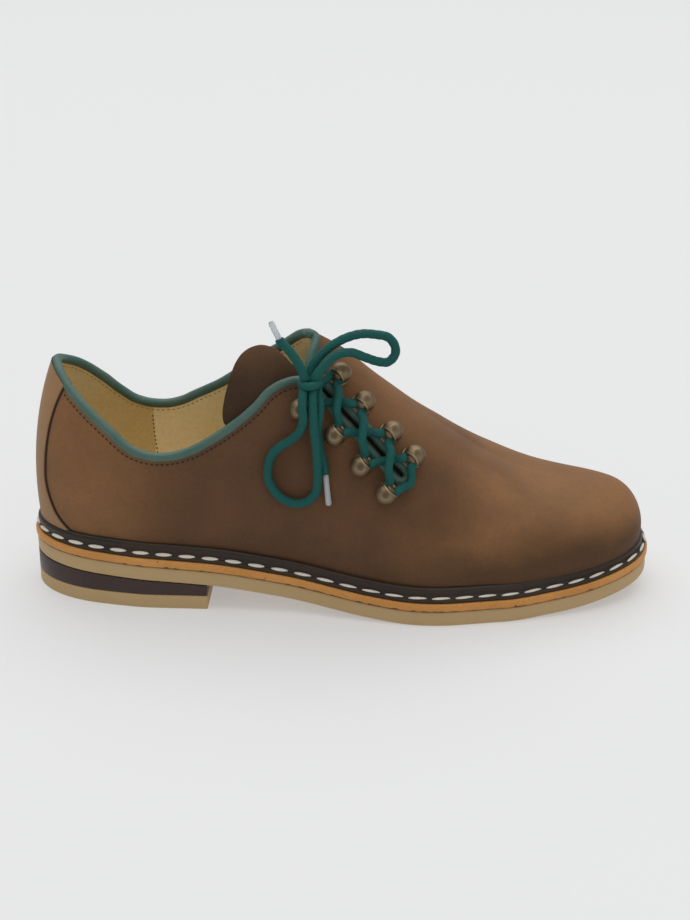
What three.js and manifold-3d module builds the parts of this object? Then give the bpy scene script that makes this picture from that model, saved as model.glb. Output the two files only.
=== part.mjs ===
// Side laced haferl shoe, right foot, standing empty on its sole.
// Millimetres. +X points to the toe, +Y to the inner side of the foot, +Z up.
// The origin lies on the floor at the middle of the heel's flat bottom.
import * as THREE from "three";
import { mergeVertices } from "three/addons/utils/BufferGeometryUtils.js";
import Module from "manifold-3d";

const wasm = await Module();
wasm.setup();

// Sole
const soleLength = 294;
const ballWidth = 103;
const heelLength = 85.4;
const heelRise = 17;
const toeSpring = 9;
const outsoleThick = 7;
const midsoleThick = 3.8;
const midsoleRound = 0.8;
const topLiftThick = 6.8;
const outsoleInset = 0.6;

// Welt and upper
const weltWidth = 5.6;
const weltThick = 1.9;
const beadHeight = 6.3;
const beadThick = 3.3;
const midsoleProud = 0.9;
const upperWall = 2.4;
const instepHeight = 96;
const insoleThick = 3;
const insoleClear = 0.6;

// Edge binding, a leather roll round the whole opening
const bindingRadius = 2.2;

// Throat slit on the outer side of the instep and what closes it
const slitHalfWidth = 3;
const eyeletOffset = 10;
const ballRadius = 5;
const flangeRadius = 3.3;
const flangeThick = 0.9;
const ballLift = 4.8;
const laceDiameter = 4;
const tongueThick = 1.8;
const tongueClear = 0.4;
const flangeLift = 0.35;
const tunnelRadius = 2.15;
const tunnelHeight = 4.5;
const laceClear = 1.4;
const laceLow = 2.9;
const laceHigh = 6.6;
const laceMouth = 4.5;
const barBulge = 6.5;
const barHeight = 2.3;

// Strip over the back seam
const backstayThick = 1.3;
const backstayWidth = 33;

const gap = 0.3;

// Smooth monotone curve through one column of a table whose first column is "at"
function along(table, column, at) {
  const last = table.length - 1;
  if (at <= table[0].at) return table[0][column];
  if (at >= table[last].at) return table[last][column];
  let i = 0;
  while (at > table[i + 1].at) i += 1;
  const slope = (k) =>
    (table[k + 1][column] - table[k][column]) / (table[k + 1].at - table[k].at);
  const tangent = (k) => {
    if (k === 0) return slope(0);
    if (k === last) return slope(last - 1);
    const before = slope(k - 1);
    const after = slope(k);
    return before * after <= 0 ? 0 : (2 * before * after) / (before + after);
  };
  const step = table[i + 1].at - table[i].at;
  const t = (at - table[i].at) / step;
  const rise = table[i + 1][column] - table[i][column];
  return (
    table[i][column] +
    t * t * (3 - 2 * t) * rise +
    t * (1 - t) * step * ((1 - t) * tangent(i) - t * tangent(i + 1))
  );
}

// Plan of the sole's edge. at: share of the sole's length from the back of the heel.
// half and swing: half width and side step of the middle, as shares of the ball width.
const planTable = [
  { at: 0.0, half: 0.315, swing: 0.015 },
  { at: 0.12, half: 0.323, swing: 0.01 },
  { at: 0.2, half: 0.344, swing: 0.0 },
  { at: 0.3, half: 0.342, swing: -0.008 },
  { at: 0.4, half: 0.337, swing: -0.029 },
  { at: 0.5, half: 0.381, swing: -0.033 },
  { at: 0.6, half: 0.453, swing: -0.015 },
  { at: 0.68, half: 0.495, swing: 0.025 },
  { at: 0.76, half: 0.498, swing: 0.07 },
  { at: 0.84, half: 0.465, swing: 0.095 },
  { at: 0.92, half: 0.43, swing: 0.09 },
  { at: 1.0, half: 0.42, swing: 0.07 },
];
// Where the round ends of the plan begin and how full they are
const heelEnd = { share: 0.15, fullness: 2.0 };
const toeEnd = { share: 0.2, fullness: 2.2 };

// Underside of the outsole. heel: share of the heel rise, toe: share of the toe spring.
const bottomTable = [
  { at: 0.0, heel: 1.0, toe: 0 },
  { at: 0.3, heel: 0.71, toe: 0 },
  { at: 0.45, heel: 0.36, toe: 0 },
  { at: 0.55, heel: 0.1, toe: 0 },
  { at: 0.63, heel: 0, toe: 0 },
  { at: 0.75, heel: 0, toe: 0 },
  { at: 0.88, heel: 0, toe: 0.3 },
  { at: 1.0, heel: 0, toe: 1 },
];

// Columns of the last. at: share of its length at the sole. crown: height of the ridge over the
// sole as a share of the instep height. lean: side step of the ridge as a share of the ball width.
// round: 2 is a true half ellipse, less is more pointed. belly: swell of the wall in its lower half.
const lastTable = [
  { at: 0.0, crown: 1.2, lean: 0.0, round: 2.0, belly: 0.09, edge: 0.72 },
  { at: 0.06, crown: 1.2, lean: 0.0, round: 1.98, belly: 0.14, edge: 0.82 },
  { at: 0.2, crown: 1.19, lean: 0.0, round: 1.78, belly: 0.2, edge: 1 },
  { at: 0.35, crown: 1.165, lean: 0.01, round: 1.88, belly: 0.12, edge: 1 },
  { at: 0.46, crown: 1.09, lean: 0.01, round: 2.02, belly: 0.07, edge: 1 },
  { at: 0.55, crown: 0.948, lean: 0.0, round: 2.04, belly: 0.06, edge: 1 },
  { at: 0.65, crown: 0.765, lean: 0.0, round: 2.08, belly: 0.08, edge: 1 },
  { at: 0.75, crown: 0.585, lean: 0.0, round: 2.18, belly: 0.11, edge: 1 },
  { at: 0.85, crown: 0.455, lean: 0.0, round: 2.35, belly: 0.14, edge: 1 },
  { at: 0.93, crown: 0.405, lean: 0.0, round: 2.5, belly: 0.15, edge: 0.95 },
  { at: 1.0, crown: 0.38, lean: 0.0, round: 2.6, belly: 0.15, edge: 0.9 },
];
// The ridge starts this far from the back and ends this far from the toe, in shares of the length
const ridgeBack = 0.14;
const ridgeToe = 0.09;

const columns = 56;
const levels = 9;
const soleBack = -heelLength / 2 - outsoleInset;
const featherInset = weltWidth + midsoleProud;
const heelBreast = heelLength / 2;
const topOfMidsole = outsoleThick + gap + midsoleThick;
const seatOfUpper = topOfMidsole + gap;

// Height of the outsole's underside over the floor at a place along the shoe
function underside(x) {
  const at = (x - soleBack) / soleLength;
  return heelRise * along(bottomTable, "heel", at) + toeSpring * along(bottomTable, "toe", at);
}

function endRound(distance, end) {
  if (distance >= end.share) return 1;
  return Math.pow(1 - Math.pow(1 - distance / end.share, end.fullness), 1 / end.fullness);
}

// Inset of the line where the upper meets the sole
function featherAt(turn) {
  const at = (1 - Math.cos(2 * Math.PI * turn)) / 2;
  return featherInset * along(lastTable, "edge", at);
}

// Point of the sole's edge. turn runs from 0 at the back along the outer side to 0.5 at the toe
// and on along the inner side to 1.
function edgePoint(turn) {
  const angle = 2 * Math.PI * turn;
  const at = (1 - Math.cos(angle)) / 2;
  const half = along(planTable, "half", at) * endRound(at, heelEnd) * endRound(1 - at, toeEnd);
  const side = Math.sin(angle) >= 0 ? -1 : 1;
  const y = ballWidth * (along(planTable, "swing", at) + side * half);
  return new THREE.Vector2(soleBack + soleLength * at, y);
}

// The same point moved inwards, square to the edge
function insetPoint(turn, inset) {
  const step = 0.004;
  const before = edgePoint(turn - step);
  const after = edgePoint(turn + step);
  const tangent = after.sub(before).normalize();
  return edgePoint(turn).add(new THREE.Vector2(-tangent.y, tangent.x).multiplyScalar(inset));
}

// Solid from rings of points, closed at both ends by strips between the outer and the inner side
function lofted(rings) {
  const count = rings[0].length;
  const positions = rings.flat().flatMap((p) => [p.x, p.y, p.z]);
  const faces = [];
  for (let r = 0; r < rings.length - 1; r += 1) {
    for (let i = 0; i < count; i += 1) {
      const next = (i + 1) % count;
      const a = r * count + i;
      const b = r * count + next;
      faces.push(a, b, a + count, b, b + count, a + count);
    }
  }
  const top = (rings.length - 1) * count;
  for (let i = 0; i < count / 2; i += 1) {
    const a = i;
    const b = i + 1;
    const c = (count - i - 1) % count;
    const d = (count - i) % count;
    if (d !== a) {
      faces.push(a, d, b);
      faces.push(top + a, top + b, top + d);
    }
    if (b !== c) {
      faces.push(b, d, c);
      faces.push(top + b, top + c, top + d);
    }
  }
  return solid(positions, faces);
}

function solid(positions, faces) {
  return new wasm.Manifold(
    new wasm.Mesh({
      numProp: 3,
      vertProperties: new Float32Array(positions),
      triVerts: new Uint32Array(faces),
    }),
  );
}

function solidOf(geometry) {
  const plain = geometry.clone();
  plain.deleteAttribute("normal");
  plain.deleteAttribute("uv");
  const merged = mergeVertices(plain, 1e-4);
  return facingOut(merged.attributes.position.array, merged.index.array);
}

function geometryOf(manifold) {
  const mesh = manifold.getMesh();
  const geometry = new THREE.BufferGeometry();
  geometry.setAttribute("position", new THREE.BufferAttribute(mesh.vertProperties, 3));
  geometry.setIndex(new THREE.BufferAttribute(mesh.triVerts, 1));
  geometry.computeVertexNormals();
  return geometry;
}

// Ring of the sole's edge at an inset, at a height over the underside of the outsole
function soleRing(inset, height) {
  return Array.from({ length: columns }, (_, i) => {
    const p = insetPoint(i / columns, inset);
    return new THREE.Vector3(p.x, p.y, underside(p.x) + height);
  });
}

// Point of the last. turn as on the sole's edge, rise from 0 at the sole to 1 on the ridge.
function lastPoint(turn, rise) {
  const at = (1 - Math.cos(2 * Math.PI * turn)) / 2;
  const foot = insetPoint(turn, featherAt(turn));
  const ridgeSpan = soleLength * (1 - ridgeBack - ridgeToe);
  const ridgeX = soleBack + soleLength * ridgeBack + ridgeSpan * at;
  const swing = along(planTable, "swing", at) + along(lastTable, "lean", at);
  const ridgeY = ballWidth * swing;
  const round = along(lastTable, "round", at);
  const belly = along(lastTable, "belly", at);
  const spread = Math.pow(1 - Math.pow(rise, round), 1 / round) * (1 + 4 * belly * rise * (1 - rise));
  const low = underside(foot.x) + seatOfUpper;
  const high = underside(ridgeX) + seatOfUpper + instepHeight * along(lastTable, "crown", at);
  return new THREE.Vector3(
    ridgeX + (foot.x - ridgeX) * spread,
    ridgeY + (foot.y - ridgeY) * spread,
    low + (high - low) * rise,
  );
}

// Outward normal of the last
function lastNormal(turn, rise) {
  const step = 0.003;
  const low = Math.max(rise - step, 0);
  const high = Math.min(rise + step, 0.9995);
  const ahead = lastPoint(turn + step, Math.min(rise, 0.9995));
  const behind = lastPoint(turn - step, Math.min(rise, 0.9995));
  const up = lastPoint(turn, high).sub(lastPoint(turn, low));
  return ahead.sub(behind).cross(up).normalize();
}

// The last grown by a distance along its own normals, as a solid that reaches "deep" below its foot
function lastSolid(grow, deep) {
  const rings = [];
  for (let level = 0; level < levels; level += 1) {
    const rise = Math.sin((Math.PI / 2) * (level / levels));
    rings.push(
      Array.from({ length: columns }, (_, i) => {
        const turn = i / columns;
        return lastPoint(turn, rise).addScaledVector(lastNormal(turn, rise), grow);
      }),
    );
  }
  if (deep > 0) rings.unshift(rings[0].map((p) => new THREE.Vector3(p.x, p.y, p.z - deep)));
  const ridge = Array.from({ length: columns }, (_, i) => {
    const turn = Math.min(i, columns - i) / columns;
    return lastPoint(turn, 1).add(new THREE.Vector3(0, 0, grow));
  });
  rings.push(ridge);
  const count = columns;
  const positions = rings.flat().flatMap((p) => [p.x, p.y, p.z]);
  const faces = [];
  const ridgeRow = rings.length - 1;
  const index = (row, i) => {
    const k = (i + count) % count;
    return row * count + (row === ridgeRow ? Math.min(k, count - k) : k);
  };
  for (let row = 0; row < ridgeRow; row += 1) {
    for (let i = 0; i < count; i += 1) {
      const a = index(row, i);
      const b = index(row, i + 1);
      const c = index(row + 1, i);
      const d = index(row + 1, i + 1);
      faces.push(a, b, c);
      if (c !== d) faces.push(b, d, c);
    }
  }
  for (let i = 0; i < count / 2; i += 1) {
    const a = index(0, i);
    const b = index(0, i + 1);
    const c = index(0, -i - 1);
    const d = index(0, -i);
    if (d !== a) faces.push(a, d, b);
    if (b !== c) faces.push(b, d, c);
  }
  return solid(positions, faces);
}

// The last read as a skin that runs on over the ridge. at: 0 at the back to 0.5 at the toe.
// arc: 0 at the sole on the outer side, 0.5 on the ridge, 1 at the sole on the inner side.
function skinPoint(at, arc) {
  return lastPoint(arc > 0.5 ? 1 - at : at, Math.sin(Math.PI * arc));
}

function skinFrame({ at, arc }) {
  const step = 0.004;
  const ahead = skinPoint(at + step, arc).sub(skinPoint(at - step, arc)).divideScalar(2 * step);
  const over = skinPoint(at, arc + step).sub(skinPoint(at, arc - step)).divideScalar(2 * step);
  const out = ahead.clone().cross(over).normalize();
  return { point: skinPoint(at, arc), ahead, over, out };
}

// Goes a distance over the skin, from a place, in one direction
function walk(place, direction, distance) {
  const steps = Math.max(1, Math.ceil(Math.abs(distance) / 3));
  let { at, arc } = place;
  for (let i = 0; i < steps; i += 1) {
    const { ahead, over, out } = skinFrame({ at, arc });
    const want = direction.clone().addScaledVector(out, -direction.dot(out));
    want.setLength(1).multiplyScalar(distance / steps);
    const aa = ahead.dot(ahead);
    const ab = ahead.dot(over);
    const bb = over.dot(over);
    const wa = want.dot(ahead);
    const wb = want.dot(over);
    const det = aa * bb - ab * ab;
    at += (wa * bb - wb * ab) / det;
    arc += (wb * aa - wa * ab) / det;
  }
  return { at, arc };
}

// Middle of the throat slit, from its mouth at the collar to its lower end
const slitTable = [
  { at: 0.23, arc: 0.334 },
  { at: 0.24, arc: 0.312 },
  { at: 0.25, arc: 0.295 },
  { at: 0.26, arc: 0.279 },
  { at: 0.27, arc: 0.258 },
  { at: 0.282, arc: 0.235 },
];
const slitCurve = new THREE.SplineCurve(slitTable.map((row) => new THREE.Vector2(row.at, row.arc)));

// Place on the middle of the slit at a share of its length, with the directions along and across it.
// across points to the inner side of the foot.
function slitFrame(share) {
  const clamped = Math.min(Math.max(share, 0), 1);
  const middle = slitCurve.getPoint(clamped);
  const place = { at: middle.x, arc: middle.y };
  const frame = skinFrame(place);
  const heading = slitCurve.getTangent(clamped);
  const down = frame.ahead.clone().multiplyScalar(heading.x).addScaledVector(frame.over, heading.y);
  down.normalize();
  const across = frame.out.clone().cross(down).normalize();
  const moved = share === clamped ? place : walk(place, down, (share - clamped) * slitLength);
  return { place: moved, down, across };
}

const slitTop = skinPoint(slitTable[0].at, slitTable[0].arc);
const slitFoot = slitTable[slitTable.length - 1];
const slitEnd = skinPoint(slitFoot.at, slitFoot.arc);
const slitLength = slitTop.distanceTo(slitEnd);

// Edge of the opening. From the slit's outer edge over the outer collar to the heel, back along
// the inner collar, over the instep and down the slit's inner edge.
const collarAtBack = 0.724;
const collarTable = [
  { turn: 0.224, rise: 0.838 },
  { turn: 0.217, rise: 0.81 },
  { turn: 0.21, rise: 0.762 },
  { turn: 0.2035, rise: 0.684 },
  { turn: 0.195, rise: 0.606 },
  { turn: 0.185, rise: 0.533 },
  { turn: 0.173, rise: 0.469 },
  { turn: 0.1615, rise: 0.44 },
  { turn: 0.15, rise: 0.437 },
  { turn: 0.137, rise: 0.458 },
  { turn: 0.12, rise: 0.522 },
  { turn: 0.099, rise: 0.588 },
  { turn: 0.066, rise: 0.663 },
  { turn: 0.032, rise: 0.711 },
  { turn: 0, rise: collarAtBack },
  { turn: 0.968, rise: 0.708 },
  { turn: 0.931, rise: 0.667 },
  { turn: 0.903, rise: 0.6 },
  { turn: 0.882, rise: 0.528 },
  { turn: 0.869, rise: 0.488 },
  { turn: 0.8535, rise: 0.476 },
  { turn: 0.841, rise: 0.496 },
  { turn: 0.829, rise: 0.554 },
  { turn: 0.8165, rise: 0.626 },
  { turn: 0.8035, rise: 0.737 },
  { turn: 0.795, rise: 0.814 },
  { turn: 0.788, rise: 0.881 },
  { turn: 0.7835, rise: 0.9385 },
  { turn: 0.7813, rise: 0.966 },
  { turn: 0.779, rise: 0.985 },
  { turn: 0.2215, rise: 0.998 },
  { turn: 0.224, rise: 0.998 },
  { turn: 0.226, rise: 0.994 },
  { turn: 0.2272, rise: 0.973 },
  { turn: 0.227, rise: 0.9375 },
  { turn: 0.2275, rise: 0.905 },
  { turn: 0.229, rise: 0.891 },
  { turn: 0.233, rise: 0.884 },
];

// Near the ridge the outward direction is read a little below it, where it is steady
const steadyRise = 0.97;

function onLast({ turn, rise }) {
  return { point: lastPoint(turn, rise), out: lastNormal(turn, Math.min(rise, steadyRise)) };
}

function onSkin(place) {
  const frame = skinFrame(place);
  return { point: frame.point, out: frame.out };
}

function openingNodes() {
  const slitShares = [0.12, 0.36, 0.6, 0.84];
  const edge = (share, side) => {
    const { place, across } = slitFrame(share);
    return onSkin(walk(place, across, side * slitHalfWidth));
  };
  const end = slitFrame(0.97);
  const around = [-60, 0, 60].map((degrees) => {
    const angle = (degrees * Math.PI) / 180;
    const way = end.down.clone().multiplyScalar(Math.cos(angle));
    way.addScaledVector(end.across, Math.sin(-angle));
    return onSkin(walk(end.place, way, slitHalfWidth));
  });
  return [
    ...collarTable.map(onLast),
    ...slitShares.map((share) => edge(share, 1)),
    ...around,
    ...slitShares.reverse().map((share) => edge(share, -1)),
  ];
}

// Closed loops through the middle of the wall, with the outward direction at each point
function openingLoop(count) {
  const nodes = openingNodes();
  const middle = nodes.map(({ point, out }) => point.clone().addScaledVector(out, -upperWall / 2));
  const path = new THREE.CatmullRomCurve3(middle, true, "centripetal");
  const outs = new THREE.CatmullRomCurve3(nodes.map(({ out }) => out), true, "catmullrom");
  return Array.from({ length: count }, (_, i) => {
    const t = path.getUtoTmapping(i / count);
    const tangent = path.getTangent(t);
    const out = outs.getPoint(t);
    out.addScaledVector(tangent, -out.dot(tangent)).normalize();
    return { point: path.getPoint(t), out, side: tangent.clone().cross(out) };
  });
}

// Ring shaped solid: one closed section at each place of a closed loop
function ringed(sections) {
  const size = sections[0].length;
  const positions = sections.flat().flatMap((p) => [p.x, p.y, p.z]);
  const faces = [];
  sections.forEach((_, s) => {
    const next = ((s + 1) % sections.length) * size;
    for (let i = 0; i < size; i += 1) {
      const j = (i + 1) % size;
      faces.push(s * size + i, next + i, s * size + j, s * size + j, next + i, next + j);
    }
  });
  return facingOut(positions, faces);
}

function facingOut(positions, faces) {
  const made = solid(positions, faces);
  if (made.volume() > 0) return made;
  const turned = [];
  for (let i = 0; i < faces.length; i += 3) turned.push(faces[i], faces[i + 2], faces[i + 1]);
  return solid(positions, turned);
}

function bindingTube(loop, radius, sides) {
  return ringed(
    loop.map(({ point, out, side }) =>
      Array.from({ length: sides }, (_, i) => {
        const angle = (2 * Math.PI * (i + 0.5)) / sides;
        const p = point.clone().addScaledVector(out, radius * Math.cos(angle));
        return p.addScaledVector(side, radius * Math.sin(angle));
      }),
    ),
  );
}

// All that lies inside the edge of the opening: a band across the wall, closed by one cone above
// the shoe and one inside it
function openingPlug(loop) {
  const reach = upperWall + bindingRadius;
  const over = new THREE.Vector3(soleBack + 0.28 * soleLength, 0, 4 * instepHeight);
  const under = new THREE.Vector3(soleBack + 0.385 * soleLength, 0, 0.6 * instepHeight);
  const outer = loop.map(({ point, out }) => point.clone().addScaledVector(out, reach));
  const inner = loop.map(({ point, out }) => point.clone().addScaledVector(out, -reach));
  const points = [...outer, ...inner, over, under];
  const count = loop.length;
  const faces = [];
  for (let i = 0; i < count; i += 1) {
    const j = (i + 1) % count;
    faces.push(i, j, 2 * count, count + j, count + i, 2 * count + 1);
    faces.push(i, count + i, j, j, count + i, count + j);
  }
  return facingOut(points.flatMap((p) => [p.x, p.y, p.z]), faces);
}

const group = new THREE.Group();

function addPart(name, manifold, color, roughness, metalness = 0) {
  const material = new THREE.MeshStandardMaterial({ color, roughness, metalness });
  const mesh = new THREE.Mesh(geometryOf(manifold), material);
  mesh.name = name;
  group.add(mesh);
}

// Sole layers
function outsoleSolid() {
  return lofted([soleRing(outsoleInset, 0), soleRing(outsoleInset, outsoleThick)]);
}

function midsoleSolid() {
  const low = outsoleThick + gap;
  return lofted([
    soleRing(midsoleRound, low),
    soleRing(0, low + midsoleRound),
    soleRing(0, topOfMidsole - midsoleRound),
    soleRing(midsoleRound, topOfMidsole),
  ]);
}

// Heel layers are cut off straight at the breast
function heelRing(heightOf) {
  const count = 32;
  const breastShare = (heelBreast - soleBack) / soleLength;
  const breastTurn = Math.acos(1 - 2 * breastShare) / (2 * Math.PI);
  return Array.from({ length: count }, (_, i) => {
    const place = i <= count / 2 ? i : count - i;
    const turn = (breastTurn * Math.min(place, count / 2 - 1)) / (count / 2 - 1);
    const p = insetPoint(i <= count / 2 ? turn : 1 - turn, outsoleInset);
    const x = Math.min(p.x, heelBreast);
    return new THREE.Vector3(x, i === count / 2 ? 0 : p.y, heightOf(x));
  });
}

function topLiftSolid() {
  return lofted([heelRing(() => 0), heelRing(() => topLiftThick)]);
}

function heelLiftSolid() {
  return lofted([heelRing(() => topLiftThick + gap), heelRing((x) => underside(x) - gap)]);
}

// Welt: a flat ledge outside and a bead that leans on the upper
function weltSolid() {
  const base = topOfMidsole + gap;
  const sections = Array.from({ length: columns }, (_, i) => {
    const turn = i / columns;
    const feather = featherAt(turn);
    const profile = [
      [midsoleProud, 0],
      [midsoleProud, weltThick],
      [feather - 1.12 * beadThick, 1.16 * weltThick],
      [feather - beadThick, 0.66 * beadHeight],
      [feather - 0.7 * beadThick, 0.93 * beadHeight],
      [feather - 0.35 * beadThick, beadHeight],
      [feather + upperWall, beadHeight],
      [feather + upperWall, 0],
    ];
    return profile.map(([inset, height]) => {
      const p = insetPoint(turn, inset);
      return new THREE.Vector3(p.x, p.y, underside(p.x) + base + height);
    });
  });
  return ringed(sections).subtract(lastSolid(gap, 3));
}

function insoleSolid() {
  const ring = (height) =>
    Array.from({ length: columns }, (_, i) => {
      const p = insetPoint(i / columns, featherAt(i / columns) + upperWall + insoleClear);
      return new THREE.Vector3(p.x, p.y, underside(p.x) + seatOfUpper + height);
    });
  return lofted([ring(0), ring(insoleThick)]);
}

const loopSteps = 86;
const loop = openingLoop(loopSteps);
const plug = openingPlug(loop);
const bindingSeat = bindingTube(loop, bindingRadius + gap, 8);

// A cut can leave a crumb behind, so the main body is kept
function mainBody(manifold) {
  return manifold.decompose().reduce((a, b) => (a.volume() > b.volume() ? a : b));
}

function upperSolid() {
  const shell = lastSolid(0, 0).subtract(lastSolid(-upperWall, 6));
  return mainBody(shell.subtract(plug).subtract(bindingSeat));
}

// The tongue from its front end in the vamp to the tip of the lobe that shows over the outer
// collar. outer and inner: its two edges.
const tongueTable = [
  { at: 0.302, outer: 0.2, inner: 0.245 },
  { at: 0.296, outer: 0.178, inner: 0.27 },
  { at: 0.286, outer: 0.176, inner: 0.29 },
  { at: 0.274, outer: 0.19, inner: 0.308 },
  { at: 0.262, outer: 0.21, inner: 0.328 },
  { at: 0.25, outer: 0.228, inner: 0.347 },
  { at: 0.24, outer: 0.242, inner: 0.362 },
  { at: 0.232, outer: 0.248, inner: 0.368 },
  { at: 0.226, outer: 0.245, inner: 0.35 },
  { at: 0.22, outer: 0.238, inner: 0.348 },
  { at: 0.213, outer: 0.225, inner: 0.363 },
  { at: 0.2055, outer: 0.21, inner: 0.375 },
  { at: 0.198, outer: 0.2, inner: 0.374 },
  { at: 0.193, outer: 0.198, inner: 0.362 },
  { at: 0.189, outer: 0.204, inner: 0.342 },
  { at: 0.187, outer: 0.222, inner: 0.318 },
  { at: 0.1863, outer: 0.25, inner: 0.292 },
];

// It lies under the binding, at an even depth below the skin
function tongueSolid() {
  const depth = upperWall / 2 + bindingRadius + tongueClear;
  const steps = 8;
  const rings = tongueTable.map(({ at, outer, inner }) => {
    const row = (low) =>
      Array.from({ length: steps + 1 }, (_, i) => {
        const { point, out } = onSkin({ at, arc: outer + ((inner - outer) * i) / steps });
        return point.addScaledVector(out, -low);
      });
    return [...row(depth), ...row(depth + tongueThick).reverse()];
  });
  const size = rings[0].length;
  const positions = rings.flat().flatMap((p) => [p.x, p.y, p.z]);
  const faces = [];
  for (let r = 0; r < rings.length - 1; r += 1) {
    for (let i = 0; i < size; i += 1) {
      const a = r * size + i;
      const b = r * size + ((i + 1) % size);
      faces.push(a, b, a + size, b, b + size, a + size);
    }
  }
  const top = (rings.length - 1) * size;
  for (let i = 0; i < steps; i += 1) {
    const under = size - 1 - i;
    faces.push(i, under, i + 1, i + 1, under, under - 1);
    faces.push(top + i, top + i + 1, top + under, top + i + 1, top + under - 1, top + under);
  }
  return facingOut(positions, faces);
}

// Outline of the strip over the back seam. at: share of the height from the bead to the collar.
// half: half width as a share of the strip's width.
const backstayTable = [
  { at: 0, half: 0.72 },
  { at: 0.14, half: 0.6 },
  { at: 0.36, half: 0.5 },
  { at: 1.5, half: 0.49 },
];

function backstaySolid() {
  const low = underside(soleBack) + seatOfUpper + beadHeight + 2 * gap;
  const high = lastPoint(0, collarAtBack).z;
  const middle = ballWidth * planTable[0].swing;
  const steps = 8;
  const side = (sign) =>
    Array.from({ length: steps + 1 }, (_, i) => {
      const up = (1.3 * i) / steps;
      const half = backstayWidth * along(backstayTable, "half", up);
      return new THREE.Vector2(middle + sign * half, low + (high - low) * up);
    });
  const shape = new THREE.Shape([...side(1), ...side(-1).reverse()]);
  const geometry = new THREE.ExtrudeGeometry(shape, { depth: heelBreast, bevelEnabled: false });
  geometry.applyMatrix4(
    new THREE.Matrix4().makeBasis(
      new THREE.Vector3(0, 1, 0),
      new THREE.Vector3(0, 0, 1),
      new THREE.Vector3(1, 0, 0),
    ),
  );
  geometry.translate(soleBack, 0, 0);
  const shell = lastSolid(gap + backstayThick, 0).subtract(lastSolid(gap, 6));
  return mainBody(shell.intersect(solidOf(geometry)).subtract(plug).subtract(bindingSeat));
}

const roundSides = 8;

function roundShape(radius, sides) {
  return new THREE.Shape(
    Array.from({ length: sides }, (_, i) => {
      const angle = (2 * Math.PI * i) / sides;
      return new THREE.Vector2(radius * Math.cos(angle), radius * Math.sin(angle));
    }),
  );
}

function tubeSolid(points, radius, steps, sides = roundSides) {
  const extrudePath = new THREE.CatmullRomCurve3(points, false, "centripetal");
  return solidOf(new THREE.ExtrudeGeometry(roundShape(radius, sides), { steps, extrudePath }));
}

// Ball eyelet in its own frame: z out of the leather, x towards the slit. A lace runs in by one
// mouth, round inside the ball and out by the other.
function eyeletSolid() {
  const around = 8;
  const balls = [-44, -30, -10, 10, 30, 50, 68].map((degrees) => {
    const angle = (degrees * Math.PI) / 180;
    return new THREE.Vector2(ballRadius * Math.cos(angle), ballLift + ballRadius * Math.sin(angle));
  });
  const profile = [
    new THREE.Vector2(0, flangeLift),
    new THREE.Vector2(flangeRadius, flangeLift),
    new THREE.Vector2(flangeRadius, flangeLift + flangeThick),
    ...balls,
    new THREE.Vector2(0, ballLift + ballRadius),
  ];
  const ball = new THREE.LatheGeometry(profile, around).rotateX(Math.PI / 2);
  const body = solidOf(ball.rotateZ(Math.PI / around));
  const turnAt = 0.78 * ballRadius;
  const turnRadius = 0.66 * ballRadius;
  const mouthAt = 1.8 * ballRadius;
  const path = [
    new THREE.Vector3(mouthAt, turnRadius, tunnelHeight),
    ...[90, 120, 150, 180, 210, 240, 270].map((degrees) => {
      const angle = (degrees * Math.PI) / 180;
      return new THREE.Vector3(
        turnAt + turnRadius * Math.cos(angle),
        turnRadius * Math.sin(angle),
        tunnelHeight,
      );
    }),
    new THREE.Vector3(mouthAt, -turnRadius, tunnelHeight),
  ];
  return mainBody(body.subtract(tubeSolid(path, tunnelRadius, 8, 6)));
}

// Ball eyelets in pairs from the top. Down: share of the slit's length. The rest: distance from the
// middle of the slit as a share of the eyelet offset.
const eyeletTable = [
  { outerDown: 0.123, outer: 1.34, innerDown: 0.124, inner: 0.97 },
  { outerDown: 0.446, outer: 0.98, innerDown: 0.413, inner: 0.88 },
  { outerDown: 0.753, outer: 1.03, innerDown: 0.714, inner: 0.88 },
  { outerDown: 0.985, outer: 1.04, innerDown: 0.936, inner: 0.88 },
];

// Place of an eyelet on the skin. side: 1 on the inner side of the slit, -1 on the outer side.
function eyeletPlace(down, offset, side) {
  const { place, across } = slitFrame(down);
  return { place: walk(place, across, side * offset * eyeletOffset), across, side };
}

function eyeletAt({ place, across, side }) {
  const { point, out } = onSkin(place);
  const towards = across.clone().multiplyScalar(-side);
  towards.addScaledVector(out, -towards.dot(out)).normalize();
  const third = out.clone().cross(towards);
  const matrix = new THREE.Matrix4().makeBasis(towards, third, out).setPosition(point);
  return eyeletBody.transform(matrix.elements);
}

// Lace strand over the skin between two eyelets, highest in its middle. bulge is a side step.
function strandSolid(from, to, middleHeight, bulge) {
  const a = from.place;
  const b = to.place;
  const span = onSkin(a).point.distanceTo(onSkin(b).point);
  const start = (ballRadius + laceClear) / span;
  const steps = 6;
  const points = Array.from({ length: steps + 1 }, (_, i) => {
    const share = start + ((1 - 2 * start) * i) / steps;
    const straight = { at: a.at + (b.at - a.at) * share, arc: a.arc + (b.arc - a.arc) * share };
    const swell = Math.sin((Math.PI * i) / steps);
    const place = bulge === 0 ? straight : walk(straight, slitFrame(1).down, bulge * (0.5 + 0.5 * swell));
    const { point, out } = onSkin(place);
    return point.addScaledVector(out, laceMouth + (middleHeight - laceMouth) * swell * swell);
  });
  return tubeSolid(points, laceDiameter / 2, steps);
}

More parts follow.
